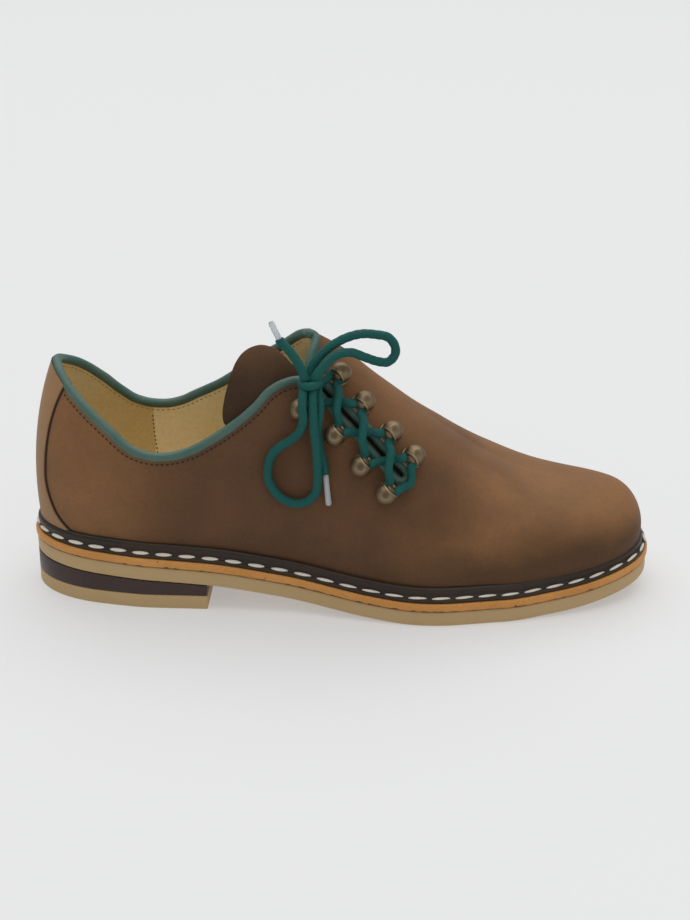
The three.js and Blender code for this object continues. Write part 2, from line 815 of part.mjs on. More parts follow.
// Courses of the free laces, chosen by hand point by point. Each starts inside the knot.
const knotCentre = [91, -27, 110];
const knotHalf = [4.8, 3.4, 3.2];
const outerStrand = [
  [88.5, -25.5, 103],
  [89, -26, 105],
  [91, -27, 110],
];
const innerStrand = [
  [98.5, -22, 110],
  [97, -23, 110],
  [91, -27, 109],
];
const upperLoop = [
  [91, -26.5, 111.5],
  [91.5, -25, 116],
  [95.5, -23.5, 121.5],
  [101, -22, 126],
  [107, -20.5, 129],
  [113.5, -19.5, 130.5],
  [119.5, -18.5, 130],
  [125.5, -18, 128.5],
  [128.5, -18, 124.5],
  [128.5, -18.5, 120.5],
  [125.5, -19.5, 117.5],
  [121, -20.5, 118],
  [115, -22, 120.5],
  [109.5, -23.5, 123],
  [104, -25.5, 123],
  [100, -27, 121],
  [96.5, -28.8, 117.5],
  [93.8, -29.8, 114],
];
const lowerLoop = [
  [88.3, -31, 108.5],
  [88, -34.5, 105.5],
  [87.8, -36.5, 101],
  [88.3, -36.5, 96],
  [87, -35.5, 90.5],
  [83, -33, 85],
  [77.5, -32, 81],
  [73.5, -32, 76.5],
  [72, -32.5, 71.5],
  [72, -33.5, 65.5],
  [74.5, -34, 60.5],
  [78.5, -34.5, 56.5],
  [84, -35, 54.5],
  [89.5, -36, 56],
  [93.5, -36.5, 60.5],
  [94.5, -37.5, 67.5],
  [94.5, -37.5, 74.5],
  [94, -37, 82.5],
  [93, -36.5, 91],
  [92.5, -35.5, 99],
  [92.3, -33.5, 105],
  [92.3, -30.5, 108.5],
];
const endUp = [
  [89, -30, 112.5],
  [87.5, -30, 116.5],
  [85, -29, 121],
  [82, -28, 125],
  [78, -27, 129],
];
const agletUp = [
  [77.5, -27, 130],
  [73.5, -25, 137.5],
];
const endDown = [
  [94.5, -26.5, 107.5],
  [95, -29.5, 104],
  [95.5, -31.5, 99.5],
  [95, -32.5, 94],
  [94.5, -32.5, 87.5],
  [95.5, -33.5, 80],
  [97, -34, 73.5],
  [97.5, -34.5, 70],
];
const agletDown = [
  [98, -35, 69],
  [99.5, -36.5, 54.5],
];
const agletRadius = 1.35;

function vectors(points) {
  return points.map((p) => new THREE.Vector3(...p));
}

function knotBall(grow) {
  const [x, y, z] = knotHalf.map((half) => half + grow);
  return solidOf(new THREE.SphereGeometry(1, 12, 8).scale(x, y, z).translate(...knotCentre));
}

function fromKnot(points, steps) {
  return mainBody(tubeSolid(vectors(points), laceDiameter / 2, steps).subtract(knotBall(gap)));
}

function knotSolid() {
  const outer = tubeSolid(vectors(outerStrand), laceDiameter / 2, 3);
  const inner = tubeSolid(vectors(innerStrand), laceDiameter / 2, 3);
  return knotBall(0).add(outer).add(inner);
}

addPart("outsole", outsoleSolid(), "#b39a68", 0.7);
addPart("midsole", midsoleSolid(), "#c98a4b", 0.6);
addPart("top_lift", topLiftSolid(), "#b39a68", 0.7);
addPart("heel_lift", heelLiftSolid(), "#3b2a2a", 0.6);
addPart("welt", weltSolid(), "#33291f", 0.55);
addPart("insole", insoleSolid(), "#c9af73", 0.7);
addPart("upper", upperSolid(), "#5a4030", 0.7);
addPart("collar_binding", bindingTube(loop, bindingRadius, 8), "#4c6660", 0.6);
addPart("tongue", tongueSolid(), "#4a352a", 0.8);
addPart("backstay", backstaySolid(), "#7b5f42", 0.7);

const eyeletBody = eyeletSolid();
const outerEyelets = eyeletTable.map((row) => eyeletPlace(row.outerDown, row.outer, -1));
const innerEyelets = eyeletTable.map((row) => eyeletPlace(row.innerDown, row.inner, 1));
outerEyelets.forEach((eyelet, i) => {
  addPart(`eyelet_outer_${i + 1}`, eyeletAt(eyelet), "#7a6a55", 0.35, 1);
});
innerEyelets.forEach((eyelet, i) => {
  addPart(`eyelet_inner_${i + 1}`, eyeletAt(eyelet), "#7a6a55", 0.35, 1);
});

const lastPair = eyeletTable.length - 1;
for (let i = 0; i < lastPair; i += 1) {
  const under = strandSolid(outerEyelets[i], innerEyelets[i + 1], laceLow, 0);
  const over = strandSolid(innerEyelets[i], outerEyelets[i + 1], laceHigh, 0);
  addPart(`lace_cross_${i + 1}`, under.add(over), "#1f5f5a", 0.8);
}
const bar = strandSolid(innerEyelets[lastPair], outerEyelets[lastPair], barHeight, barBulge);
addPart("lace_bar", bar, "#1f5f5a", 0.8);

addPart("lace_knot", knotSolid(), "#1f5f5a", 0.8);
addPart("lace_loop_upper", fromKnot(upperLoop, 20), "#1f5f5a", 0.8);
addPart("lace_loop_lower", fromKnot(lowerLoop, 26), "#1f5f5a", 0.8);
addPart("lace_end_up", fromKnot(endUp, 5), "#1f5f5a", 0.8);
addPart("lace_end_down", fromKnot(endDown, 9), "#1f5f5a", 0.8);
addPart("aglet_up", tubeSolid(vectors(agletUp), agletRadius, 1), "#cfd8dc", 0.2);
addPart("aglet_down", tubeSolid(vectors(agletDown), agletRadius, 1), "#cfd8dc", 0.2);

export default group;
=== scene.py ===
import bmesh
import bpy
import math
import numpy as np
from mathutils import Matrix, Vector


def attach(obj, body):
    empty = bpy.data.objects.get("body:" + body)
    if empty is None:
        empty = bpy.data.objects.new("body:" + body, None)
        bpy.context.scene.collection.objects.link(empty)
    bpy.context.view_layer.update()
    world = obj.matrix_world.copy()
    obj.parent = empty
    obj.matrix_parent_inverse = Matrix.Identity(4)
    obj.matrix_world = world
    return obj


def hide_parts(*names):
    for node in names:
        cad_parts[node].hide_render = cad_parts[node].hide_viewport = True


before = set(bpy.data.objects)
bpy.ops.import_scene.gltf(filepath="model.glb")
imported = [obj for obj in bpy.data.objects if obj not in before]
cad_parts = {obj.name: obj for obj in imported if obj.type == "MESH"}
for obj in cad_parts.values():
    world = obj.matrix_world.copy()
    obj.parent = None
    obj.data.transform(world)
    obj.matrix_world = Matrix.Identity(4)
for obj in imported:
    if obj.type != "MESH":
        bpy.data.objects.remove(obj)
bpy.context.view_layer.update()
print("frame loaded,", len(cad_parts), "nodes")

mm = 0.001  # lengths below are millimetres, meshes are metres
detail = 1.0


# Camera at the height and angle of the photograph

cameraSet = {
    "place": (130.66, -718.58, 358.1),
    "down": 22.4,
    "round": 2.0,
    "focalPixels": 1649.7,
    "longSidePixels": 920,
    "sensor": 36.0,
    "nearest": 0.01,
}


def addCamera(settings):
    data = bpy.data.cameras.new("camera")
    data.sensor_width = settings["sensor"]
    data.lens = settings["focalPixels"] * settings["sensor"] / settings["longSidePixels"]
    data.clip_start = settings["nearest"]
    camera = bpy.data.objects.new("camera", data)
    camera.location = Vector(settings["place"]) * mm
    camera.rotation_euler = (math.radians(90 - settings["down"]), 0, math.radians(settings["round"]))
    bpy.context.scene.collection.objects.link(camera)
    bpy.context.scene.camera = camera


addCamera(cameraSet)
print("camera placed")


# Colours and nodes

def colour(code, strength=1.0):
    parts = [int(code[i:i + 2], 16) / 255 for i in (1, 3, 5)]
    linear = [c / 12.92 if c <= 0.04045 else ((c + 0.055) / 1.055) ** 2.4 for c in parts]
    return (*[c * strength for c in linear], 1.0)


def node(tree, kind, inputs=None, **settings):
    made = tree.nodes.new(kind)
    for name, value in settings.items():
        setattr(made, name, value)
    for name, value in (inputs or {}).items():
        if isinstance(value, bpy.types.NodeSocket):
            tree.links.new(value, made.inputs[name])
        else:
            made.inputs[name].default_value = value
    return made


def newMaterial(name):
    material = bpy.data.materials.new(name)
    material.use_nodes = True
    tree = material.node_tree
    tree.nodes.clear()
    return material, tree


def shaded(material, tree, inputs):
    shader = node(tree, "ShaderNodeBsdfPrincipled", inputs)
    node(tree, "ShaderNodeOutputMaterial", {"Surface": shader.outputs["BSDF"]})
    return material


def perMetre(size):
    return 1000.0 / size  # noise scale for a feature of that many millimetres


def placeOn(tree, kind="Object"):
    return node(tree, "ShaderNodeTexCoord").outputs[kind]


def axesOf(tree, vector):
    return node(tree, "ShaderNodeSeparateXYZ", {"Vector": vector}).outputs


def noise(tree, place, size, octaves, **more):
    inputs = {"Vector": place, "Scale": perMetre(size), "Detail": octaves, **more}
    return node(tree, "ShaderNodeTexNoise", inputs).outputs["Fac"]


def blend(tree, factor, a, b, kind="MIX"):
    inputs = {"Factor": factor, "A": a, "B": b}
    return node(tree, "ShaderNodeMix", inputs, data_type="RGBA", blend_type=kind).outputs["Result"]


def ramp(tree, value, low, high, bottom=0.0, top=1.0, curve="LINEAR"):
    inputs = {"Value": value, "From Min": low, "From Max": high, "To Min": bottom, "To Max": top}
    return node(tree, "ShaderNodeMapRange", inputs, interpolation_type=curve).outputs["Result"]


def fade(tree, value, low, high, bottom=0.0, top=1.0):
    return ramp(tree, value, low, high, bottom, top, "SMOOTHSTEP")


def combine(tree, a, b, operation="ADD"):
    return node(tree, "ShaderNodeMath", {0: a, 1: b}, operation=operation).outputs["Value"]


def brighten(tree, base, value):
    return node(tree, "ShaderNodeHueSaturation", {"Color": base, "Value": value}).outputs["Color"]


def bump(tree, height, strength, depth):
    inputs = {"Height": height, "Strength": strength, "Distance": depth * mm}
    return node(tree, "ShaderNodeBump", inputs).outputs["Normal"]


# The shoe's own sizes, in millimetres, as its solids have them

soleLength = 294
ballWidth = 103
heelLength = 85.4
heelRise = 17
toeSpring = 9
outsoleThick = 7
midsoleThick = 3.8
topLiftThick = 6.8
outsoleInset = 0.6
weltWidth = 5.6
weltThick = 1.9
beadHeight = 6.3
beadThick = 3.3
midsoleProud = 0.9
upperWall = 2.4
instepHeight = 96
insoleThick = 3
insoleClear = 0.6
bindingRadius = 2.2
slitHalfWidth = 3
eyeletOffset = 10
ballRadius = 5
ballLift = 4.8
laceDiameter = 4
tongueThick = 1.8
tongueClear = 0.4
tunnelHeight = 4.5
laceLow = 2.9
barBulge = 6.5
barHeight = 2.3
backstayThick = 1.3
backstayWidth = 33
collarAtBack = 0.724
steadyRise = 0.97
ridgeRise = 0.9995
gap = 0.3

planTable = {
    "at": (0, 0.12, 0.2, 0.3, 0.4, 0.5, 0.6, 0.68, 0.76, 0.84, 0.92, 1),
    "half": (0.315, 0.323, 0.344, 0.342, 0.337, 0.381, 0.453, 0.495, 0.498, 0.465, 0.43, 0.42),
    "swing": (0.015, 0.01, 0, -0.008, -0.029, -0.033, -0.015, 0.025, 0.07, 0.095, 0.09, 0.07),
}
bottomTable = {
    "at": (0, 0.3, 0.45, 0.55, 0.63, 0.75, 0.88, 1),
    "heel": (1, 0.71, 0.36, 0.1, 0, 0, 0, 0),
    "toe": (0, 0, 0, 0, 0, 0, 0.3, 1),
}
lastTable = {
    "at": (0, 0.06, 0.2, 0.35, 0.46, 0.55, 0.65, 0.75, 0.85, 0.93, 1),
    "crown": (1.2, 1.2, 1.19, 1.165, 1.09, 0.948, 0.765, 0.585, 0.455, 0.405, 0.38),
    "lean": (0, 0, 0, 0.01, 0.01, 0, 0, 0, 0, 0, 0),
    "round": (2, 1.98, 1.78, 1.88, 2.02, 2.04, 2.08, 2.18, 2.35, 2.5, 2.6),
    "belly": (0.09, 0.14, 0.2, 0.12, 0.07, 0.06, 0.08, 0.11, 0.14, 0.15, 0.15),
    "edge": (0.72, 0.82, 1, 1, 1, 1, 1, 1, 1, 0.95, 0.9),
}
heelEnd = (0.15, 2.0)  # share of the length, fullness
toeEnd = (0.2, 2.2)
ridgeBack = 0.14
ridgeToe = 0.09

soleBack = -heelLength / 2 - outsoleInset
heelBreast = heelLength / 2
featherInset = weltWidth + midsoleProud
midsoleLow = outsoleThick + gap
topOfMidsole = midsoleLow + midsoleThick
seatOfUpper = topOfMidsole + gap


def along(table, column, at):
    x = np.array(table["at"], float)
    y = np.array(table[column], float)
    slope = np.diff(y) / np.diff(x)
    before, after = slope[:-1], slope[1:]
    flat = before * after <= 0
    inner = np.where(flat, 0, 2 * before * after / np.where(flat, 1, before + after))
    tangent = np.concatenate([slope[:1], inner, slope[-1:]])
    at = np.clip(at, x[0], x[-1])
    i = np.clip(np.searchsorted(x, at) - 1, 0, len(x) - 2)
    step = x[i + 1] - x[i]
    t = (at - x[i]) / step
    bend = (1 - t) * tangent[i] - t * tangent[i + 1]
    return y[i] + t * t * (3 - 2 * t) * (y[i + 1] - y[i]) + t * (1 - t) * step * bend


def shareAt(turn):
    return (1 - np.cos(2 * np.pi * turn)) / 2  # share of the length from the back


def underside(x):
    at = (x - soleBack) / soleLength
    return heelRise * along(bottomTable, "heel", at) + toeSpring * along(bottomTable, "toe", at)


def endRound(distance, end):
    share, fullness = end
    closeness = np.clip(1 - distance / share, 0, 1)
    return (1 - closeness ** fullness) ** (1 / fullness)


def edgePoint(turn):
    at = shareAt(turn)
    half = along(planTable, "half", at) * endRound(at, heelEnd) * endRound(1 - at, toeEnd)
    side = np.where(np.sin(2 * np.pi * turn) >= 0, -1, 1)
    y = ballWidth * (along(planTable, "swing", at) + side * half)
    return np.stack([soleBack + soleLength * at, y], -1)


def insetPoint(turn, inset):
    step = 0.004
    tangent = edgePoint(turn + step) - edgePoint(turn - step)
    tangent /= np.linalg.norm(tangent, axis=-1, keepdims=True)
    inward = np.stack([-tangent[..., 1], tangent[..., 0]], -1)
    return edgePoint(turn) + inward * np.asarray(inset)[..., None]


def featherAt(turn):
    return featherInset * along(lastTable, "edge", shareAt(turn))


def lastPoint(turn, rise):
    at = shareAt(turn)
    foot = insetPoint(turn, featherAt(turn))
    ridgeX = soleBack + soleLength * (ridgeBack + (1 - ridgeBack - ridgeToe) * at)
    ridgeY = ballWidth * (along(planTable, "swing", at) + along(lastTable, "lean", at))
    roundness = along(lastTable, "round", at)
    belly = along(lastTable, "belly", at)
    rise = np.clip(rise, 0, 1)
    spread = (1 - rise ** roundness) ** (1 / roundness) * (1 + 4 * belly * rise * (1 - rise))
    low = underside(foot[..., 0]) + seatOfUpper
    high = underside(ridgeX) + seatOfUpper + instepHeight * along(lastTable, "crown", at)
    x = ridgeX + (foot[..., 0] - ridgeX) * spread
    y = ridgeY + (foot[..., 1] - ridgeY) * spread
    return np.stack([x, y, low + (high - low) * rise], -1)


def unit(v):
    return v / np.maximum(np.linalg.norm(v, axis=-1, keepdims=True), 1e-12)


def runAlong(points):
    return np.concatenate([[0], np.cumsum(np.linalg.norm(np.diff(points, axis=0), axis=1))])


# The last as one skin

def skinPoint(at, arc):
    # at: 0 at the back, 0.5 at the toe. arc: 0 at the outer sole, over the ridge, 1 at the inner sole
    return lastPoint(np.where(arc > 0.5, 1 - at, at), np.sin(np.pi * arc))


def skinFrame(at, arc):
    step = 0.004
    ahead = (skinPoint(at + step, arc) - skinPoint(at - step, arc)) / (2 * step)
    over = (skinPoint(at, arc + step) - skinPoint(at, arc - step)) / (2 * step)
    return skinPoint(at, arc), ahead, over, unit(np.cross(ahead, over))


def stepOnSkin(at, arc, move):
    _, ahead, over, _ = skinFrame(at, arc)
    aa = (ahead * ahead).sum(-1)
    ab = (ahead * over).sum(-1)
    bb = (over * over).sum(-1)
    wa = (move * ahead).sum(-1)
    wb = (move * over).sum(-1)
    det = aa * bb - ab * ab
    return at + (wa * bb - wb * ab) / det, arc + (wb * aa - wa * ab) / det


def walk(at, arc, direction, distance):
    longest = 3
    steps = max(1, math.ceil(abs(distance) / longest))
    for _ in range(steps):
        out = skinFrame(at, arc)[3]
        want = unit(direction - out * (direction * out).sum(-1, keepdims=True))
        at, arc = stepOnSkin(at, arc, want * distance / steps)
    return at, arc


# A smooth closed or open curve through points, as evenly spaced points

def rootDistance(a, b):
    return np.sqrt(np.linalg.norm(b - a, axis=-1, keepdims=True))


def smoothCurve(points, spacing=None, count=None, closed=False):
    p = np.array(points, float)
    if closed:
        p = np.vstack([p[-1:], p, p[:2]])
    else:
        p = np.vstack([2 * p[0] - p[1], p, 2 * p[-1] - p[-2]])
    p0, p1, p2, p3 = (p[k:len(p) - 3 + k, None, :] for k in range(4))
    d0, d1, d2 = (rootDistance(a, b) for a, b in ((p0, p1), (p1, p2), (p2, p3)))
    t1 = ((p1 - p0) / d0 - (p2 - p0) / (d0 + d1) + (p2 - p1) / d1) * d1
    t2 = ((p2 - p1) / d1 - (p3 - p1) / (d1 + d2) + (p3 - p2) / d2) * d1
    samples = 24
    t = np.linspace(0, 1, samples, endpoint=False)[None, :, None]
    square = (-3 * p1 + 3 * p2 - 2 * t1 - t2) * t ** 2
    cube = (2 * p1 - 2 * p2 + t1 + t2) * t ** 3
    dense = p1 + t1 * t + square + cube
    dense = np.vstack([dense.reshape(-1, p.shape[1]), p2[-1]])
    run = runAlong(dense)
    if count is None:
        count = max(4, round(run[-1] / spacing) + 1)
    at = np.linspace(0, run[-1], count + 1)[:-1] if closed else np.linspace(0, run[-1], count)
    return np.stack([np.interp(at, run, dense[:, k]) for k in range(p.shape[1])], -1)


# The throat slit and the edge of the whole opening

slitTable = ((0.23, 0.334), (0.24, 0.312), (0.25, 0.295), (0.26, 0.279), (0.27, 0.258), (0.282, 0.235))
slitEnds = skinPoint(*np.array([slitTable[0], slitTable[-1]]).T)
slitLength = np.linalg.norm(slitEnds[1] - slitEnds[0])
slitShares = (0.12, 0.36, 0.6, 0.84)
slitTip = 0.97


def slitPlace(share):
    p = np.array(slitTable)
    p = np.vstack([2 * p[0] - p[1], p, 2 * p[-1] - p[-2]])
    spot = min(max(share, 0), 1) * (len(slitTable) - 1)
    i = min(int(spot), len(slitTable) - 2)
    t = spot - i
    a, b, c, d = p[i:i + 4]
    va = (c - a) / 2
    vb = (d - b) / 2
    place = (2 * b - 2 * c + va + vb) * t ** 3 + (-3 * b + 3 * c - 2 * va - vb) * t ** 2 + va * t + b
    heading = 3 * (2 * b - 2 * c + va + vb) * t ** 2 + 2 * (-3 * b + 3 * c - 2 * va - vb) * t + va
    return place, heading


def slitFrame(share):
    (at, arc), heading = slitPlace(share)
    _, ahead, over, out = skinFrame(at, arc)
    down = unit(ahead * heading[0] + over * heading[1])
    across = unit(np.cross(out, down))
    beyond = share - min(max(share, 0), 1)
    if beyond:
        at, arc = walk(at, arc, down, beyond * slitLength)
    return at, arc, down, across


collarTable = {
    "turn": (
        0.224, 0.217, 0.21, 0.2035, 0.195, 0.185, 0.173, 0.1615, 0.15, 0.137, 0.12, 0.099, 0.066, 0.032,
        0, 0.968, 0.931, 0.903, 0.882, 0.869, 0.8535, 0.841, 0.829, 0.8165, 0.8035, 0.795, 0.788,
        0.7835, 0.7813, 0.779, 0.2215, 0.224, 0.226, 0.2272, 0.227, 0.2275, 0.229, 0.233,
    ),
    "rise": (
        0.838, 0.81, 0.762, 0.684, 0.606, 0.533, 0.469, 0.44, 0.437, 0.458, 0.522, 0.588, 0.663, 0.711,
        collarAtBack, 0.708, 0.667, 0.6, 0.528, 0.488, 0.476, 0.496, 0.554, 0.626, 0.737, 0.814, 0.881,
        0.9385, 0.966, 0.985, 0.998, 0.998, 0.994, 0.973, 0.9375, 0.905, 0.891, 0.884,
    ),
}


def lastNormal(turn, rise):
    step = 0.003
    steady = np.minimum(rise, ridgeRise)
    low = np.maximum(rise - step, 0)
    high = np.minimum(rise + step, ridgeRise)
    ahead = lastPoint(turn + step, steady) - lastPoint(turn - step, steady)
    return unit(np.cross(ahead, lastPoint(turn, high) - lastPoint(turn, low)))


def openingNodes():
    turn = np.array(collarTable["turn"])
    rise = np.array(collarTable["rise"])
    points = list(lastPoint(turn, rise))
    outs = list(lastNormal(turn, np.minimum(rise, steadyRise)))
    places = []
    for share in slitShares:
        at, arc, _, across = slitFrame(share)
        places.append(walk(at, arc, across, slitHalfWidth))
    at, arc, down, across = slitFrame(slitTip)
    for degrees in (-60, 0, 60):
        angle = math.radians(degrees)
        places.append(walk(at, arc, down * math.cos(angle) - across * math.sin(angle), slitHalfWidth))
    for share in reversed(slitShares):
        at, arc, _, across = slitFrame(share)
        places.append(walk(at, arc, across, -slitHalfWidth))
    for at, arc in places:
        point, _, _, out = skinFrame(at, arc)
        points.append(point)
        outs.append(out)
    return np.array(points), np.array(outs)


def openingLoop(count):
    points, outs = openingNodes()
    inWall = points - outs * upperWall / 2
    line = smoothCurve(inWall, count=count, closed=True)
    weight = 1 / (np.linalg.norm(line[:, None] - inWall[None], axis=-1) ** 3 + 1e-3)
    out = unit((weight[..., None] * outs[None]).sum(1))
    tangent = unit(np.roll(line, -1, axis=0) - np.roll(line, 1, axis=0))
    out = unit(out - tangent * (out * tangent).sum(-1, keepdims=True))
    return line, out, np.cross(tangent, out)


def dropOnSkin(points, rounds=6):
    grids = np.meshgrid(np.linspace(0, 0.5, 121), np.linspace(0.02, 0.98, 121))
    ats, arcs = (grid.ravel() for grid in grids)
    cloud = skinPoint(ats, arcs)
    best = np.array([((cloud - p) ** 2).sum(-1).argmin() for p in points])
    at = ats[best]
    arc = arcs[best]
    for _ in range(rounds):
        at, arc = stepOnSkin(at, arc, points - skinPoint(at, arc))
    return at, arc


loopPoint, loopOut, loopSide = openingLoop(900)
loopAt, loopArc = dropOnSkin(loopPoint + loopOut * upperWall / 2)
loopSkin = skinPoint(loopAt, loopArc)
print("opening laid out")


# Meshes from grids

def gridMesh(uCount, vCount, place, uvSize=(1, 1), weld=0.02):
    # place(u, v) gives the points in millimetres for u and v from 0 to 1
    bm = bmesh.new()
    bm.loops.layers.uv.new("UVMap")
    bmesh.ops.create_grid(bm, x_segments=uCount, y_segments=vCount, size=0.5, calc_uvs=True)
    flat = np.array([v.co[:2] for v in bm.verts]) + 0.5
    for vert, point in zip(bm.verts, place(flat[:, 0], flat[:, 1]) * mm):
        vert.co = point
    layer = bm.loops.layers.uv.active
    for face in bm.faces:
        for loop in face.loops:
            loop[layer].uv = (loop[layer].uv[0] * uvSize[0], loop[layer].uv[1] * uvSize[1])
    if weld:
        bmesh.ops.remove_doubles(bm, verts=bm.verts, dist=weld * mm)
    return bm


def addPiece(name, bm, material, replaces=(), outward=True):
    if outward:
        bmesh.ops.recalc_face_normals(bm, faces=bm.faces)
    for face in bm.faces:
        face.smooth = True
    mesh = bpy.data.meshes.new(name)
    bm.to_mesh(mesh)
    bm.free()
    mesh.materials.append(material)
    piece = bpy.data.objects.new(name, mesh)
    bpy.context.scene.collection.objects.link(piece)
    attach(piece, "root")
    if replaces:
        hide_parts(*replaces)
    return piece


def thicken(piece, thickness, edgeMaterial=None):
    wall = piece.modifiers.new("wall", "SOLIDIFY")
    wall.thickness = thickness * mm
    wall.offset = -1
    wall.use_rim = True
    if edgeMaterial:
        piece.data.materials.append(edgeMaterial)
        wall.material_offset_rim = 1


# Cords: a tube of round section along a curve, its braid raised in the mesh

def tubeFrames(path):
    tangent = unit(np.gradient(path, axis=0))
    side = np.zeros_like(path)
    start = np.array([0, 0, 1.0]) if abs(tangent[0][2]) < 0.9 else np.array([0, 1.0, 0])
    side[0] = unit(np.cross(tangent[0], start))
    for i in range(1, len(path)):
        side[i] = unit(side[i - 1] - tangent[i] * np.dot(side[i - 1], tangent[i]))
    return side, np.cross(tangent, side)


def braidHeight(braid, run, v):
    # Two sets of yarns, wound left and right, each over and under the other in turn
    a = np.cos(2 * np.pi * (braid["strands"] / 2 * v + run / braid["pitch"]))
    b = np.cos(2 * np.pi * (braid["strands"] / 2 * v - run / braid["pitch"]))
    ribs = np.maximum(a + 0.5 * a * b, b - 0.5 * a * b)
    return braid["depth"] * (ribs - braid["meanRib"])


def tubeMesh(path, radius, sides, braid=None, taper=None):
    side, third = tubeFrames(path)
    run = runAlong(path)
    rings = len(path) - 1

    def place(u, v):
        i = np.rint(u * rings).astype(int)
        angle = 2 * np.pi * v
        size = np.full(len(u), float(radius))
        if taper is not None:
            size *= taper(run[i], run[-1])
        if braid:
            size += braidHeight(braid, run[i], v)
        ring = side[i] * np.cos(angle)[:, None] + third[i] * np.sin(angle)[:, None]
        return path[i] + ring * size[:, None]

    bm = gridMesh(rings, sides, place, (run[-1], 2 * math.pi * radius))
    openEdges = [edge for edge in bm.edges if edge.is_boundary]
    bmesh.ops.holes_fill(bm, edges=openEdges, sides=0)
    return bm


laceSet = {
    "sides": 32,
    "ringStep": 0.32 / detail,
    "braid": {"strands": 16, "pitch": 3.4, "depth": 0.11, "meanRib": 0.6},
}

# Courses of the free laces, as the solids have them
outerStrand = [(88.5, -25.5, 103), (89, -26, 105), (91, -27, 110)]
innerStrand = [(98.5, -22, 110), (97, -23, 110)]
upperLoop = [
    (91, -26.5, 111.5), (91.5, -25, 116), (95.5, -23.5, 121.5), (101, -22, 126), (107, -20.5, 129),
    (113.5, -19.5, 130.5), (119.5, -18.5, 130), (125.5, -18, 128.5), (128.5, -18, 124.5),
    (128.5, -18.5, 120.5), (125.5, -19.5, 117.5), (121, -20.5, 118), (115, -22, 120.5),
    (109.5, -23.5, 123), (104, -25.5, 123), (100, -27, 121), (96.5, -28.8, 117.5), (93.8, -29.8, 114),
]
underWrap = [(92.5, -29.6, 111)]  # the loop's way back runs on into the knot
lowerLoop = [
    (88.3, -31, 108.5), (88, -34.5, 105.5), (87.8, -36.5, 101), (88.3, -36.5, 96), (87, -35.5, 90.5),
    (83, -33, 85), (77.5, -32, 81), (73.5, -32, 76.5), (72, -32.5, 71.5), (72, -33.5, 65.5),
    (74.5, -34, 60.5), (78.5, -34.5, 56.5), (84, -35, 54.5), (89.5, -36, 56), (93.5, -36.5, 60.5),
    (94.5, -37.5, 67.5), (94.5, -37.5, 74.5), (94, -37, 82.5), (93, -36.5, 91), (92.5, -35.5, 99),
    (92.3, -33.5, 105), (92.3, -30.5, 108.5),
]
endUp = [(89, -30, 112.5), (87.5, -30, 116.5), (85, -29, 121), (82, -28, 125), (78, -27, 129)]
agletUp = [(77.5, -27, 130), (73.5, -25, 137.5)]
endDown = [
    (94.5, -26.5, 107.5), (95, -29.5, 104), (95.5, -31.5, 99.5), (95, -32.5, 94), (94.5, -32.5, 87.5),
    (95.5, -33.5, 80), (97, -34, 73.5), (97.5, -34.5, 70),
]
agletDown = [(98, -35, 69), (99.5, -36.5, 54.5)]


def laceMaterial():
    # Polyester round braid in teal dye: dull yarn with a soft sheen, painted paler on the ridges of its
    # yarn bump and darker in its valleys, a painted highlight and shade
    material, tree = newMaterial("braidedPolyester")
    place = placeOn(tree)
    cloud = noise(tree, place, 9, 3)
    yarn = noise(tree, place, 0.5, 2)
    # painted highlight and shade: the yarn noise that raises the bump also lightens the colour on ridges
    # and darkens it in valleys
    dyedAndYarnShaded = blend(tree, yarn, colour("#0d403d"), colour("#1f6660"))
    return shaded(material, tree, {
        "Base Color": blend(tree, cloud, dyedAndYarnShaded, colour("#175650")),
        "Roughness": 0.72,
        "Normal": bump(tree, yarn, 0.25, 0.1),
        "Specular IOR Level": 0.25,
        "Sheen Weight": 0.12,
        "Sheen Roughness": 0.4,
        "Sheen Tint": colour("#4f958b"),
    })


def filmMaterial():
    # Acetate lace tip: clear film shrunk on the cord, glossy, slightly milky
    material, tree = newMaterial("acetateFilm")
    return shaded(material, tree, {
        "Base Color": colour("#dfe6e8"),
        "Roughness": 0.18,
        "IOR": 1.47,
        "Transmission Weight": 0.55,
        "Coat Weight": 0.4,
    })


laceLook = laceMaterial()
filmLook = filmMaterial()


def laceMesh(path, thick=1.0):
    return tubeMesh(path, laceDiameter / 2 * thick, laceSet["sides"], laceSet["braid"])


def cordPiece(name, points, replaces):
    path = smoothCurve(points, spacing=laceSet["ringStep"])
    return addPiece(name, laceMesh(path), laceLook, (replaces,)), path


agletSet = {"radius": 1.35, "sides": 24, "ringStep": 0.5, "roundOver": 1.0, "endShare": 0.75}


def agletPiece(name, points, replaces, settings):
    path = smoothCurve(points, spacing=settings["ringStep"])

    def taper(run, length):
        fromEnd = np.minimum(run, length - run)
        swell = np.sqrt(np.clip(fromEnd / settings["roundOver"], 0, 1))
        return settings["endShare"] + (1 - settings["endShare"]) * swell

    bm = tubeMesh(path, settings["radius"], settings["sides"], None, taper)
    return addPiece(name, bm, filmLook, (replaces,))


knotSet = {
    "centre": (91, -27, 110),
    "halfWide": 3.9,
    "halfDeep": 5.0,
    "forward": 1.2,
    "lift": 0.3,
    "climb": 1.6,
    "start": 70,
    "turned": 400,
    "points": 26,
    "thick": 0.92,
}


def knotPiece(settings):
    # One turn of the lace wraps the bunch at its waist, its ends tucked in at the back
    share = np.linspace(0, 1, settings["points"])
    angle = np.radians(settings["start"] + settings["turned"] * share)
    wrap = np.array(settings["centre"]) + np.column_stack([
        settings["halfWide"] * np.cos(angle),
        settings["halfDeep"] * np.sin(angle) - settings["forward"],
        settings["lift"] + settings["climb"] * (share - 0.5),
    ])
    path = smoothCurve(wrap, spacing=laceSet["ringStep"])
    addPiece("bow_knot", laceMesh(path, settings["thick"]), laceLook, ("lace_knot",))


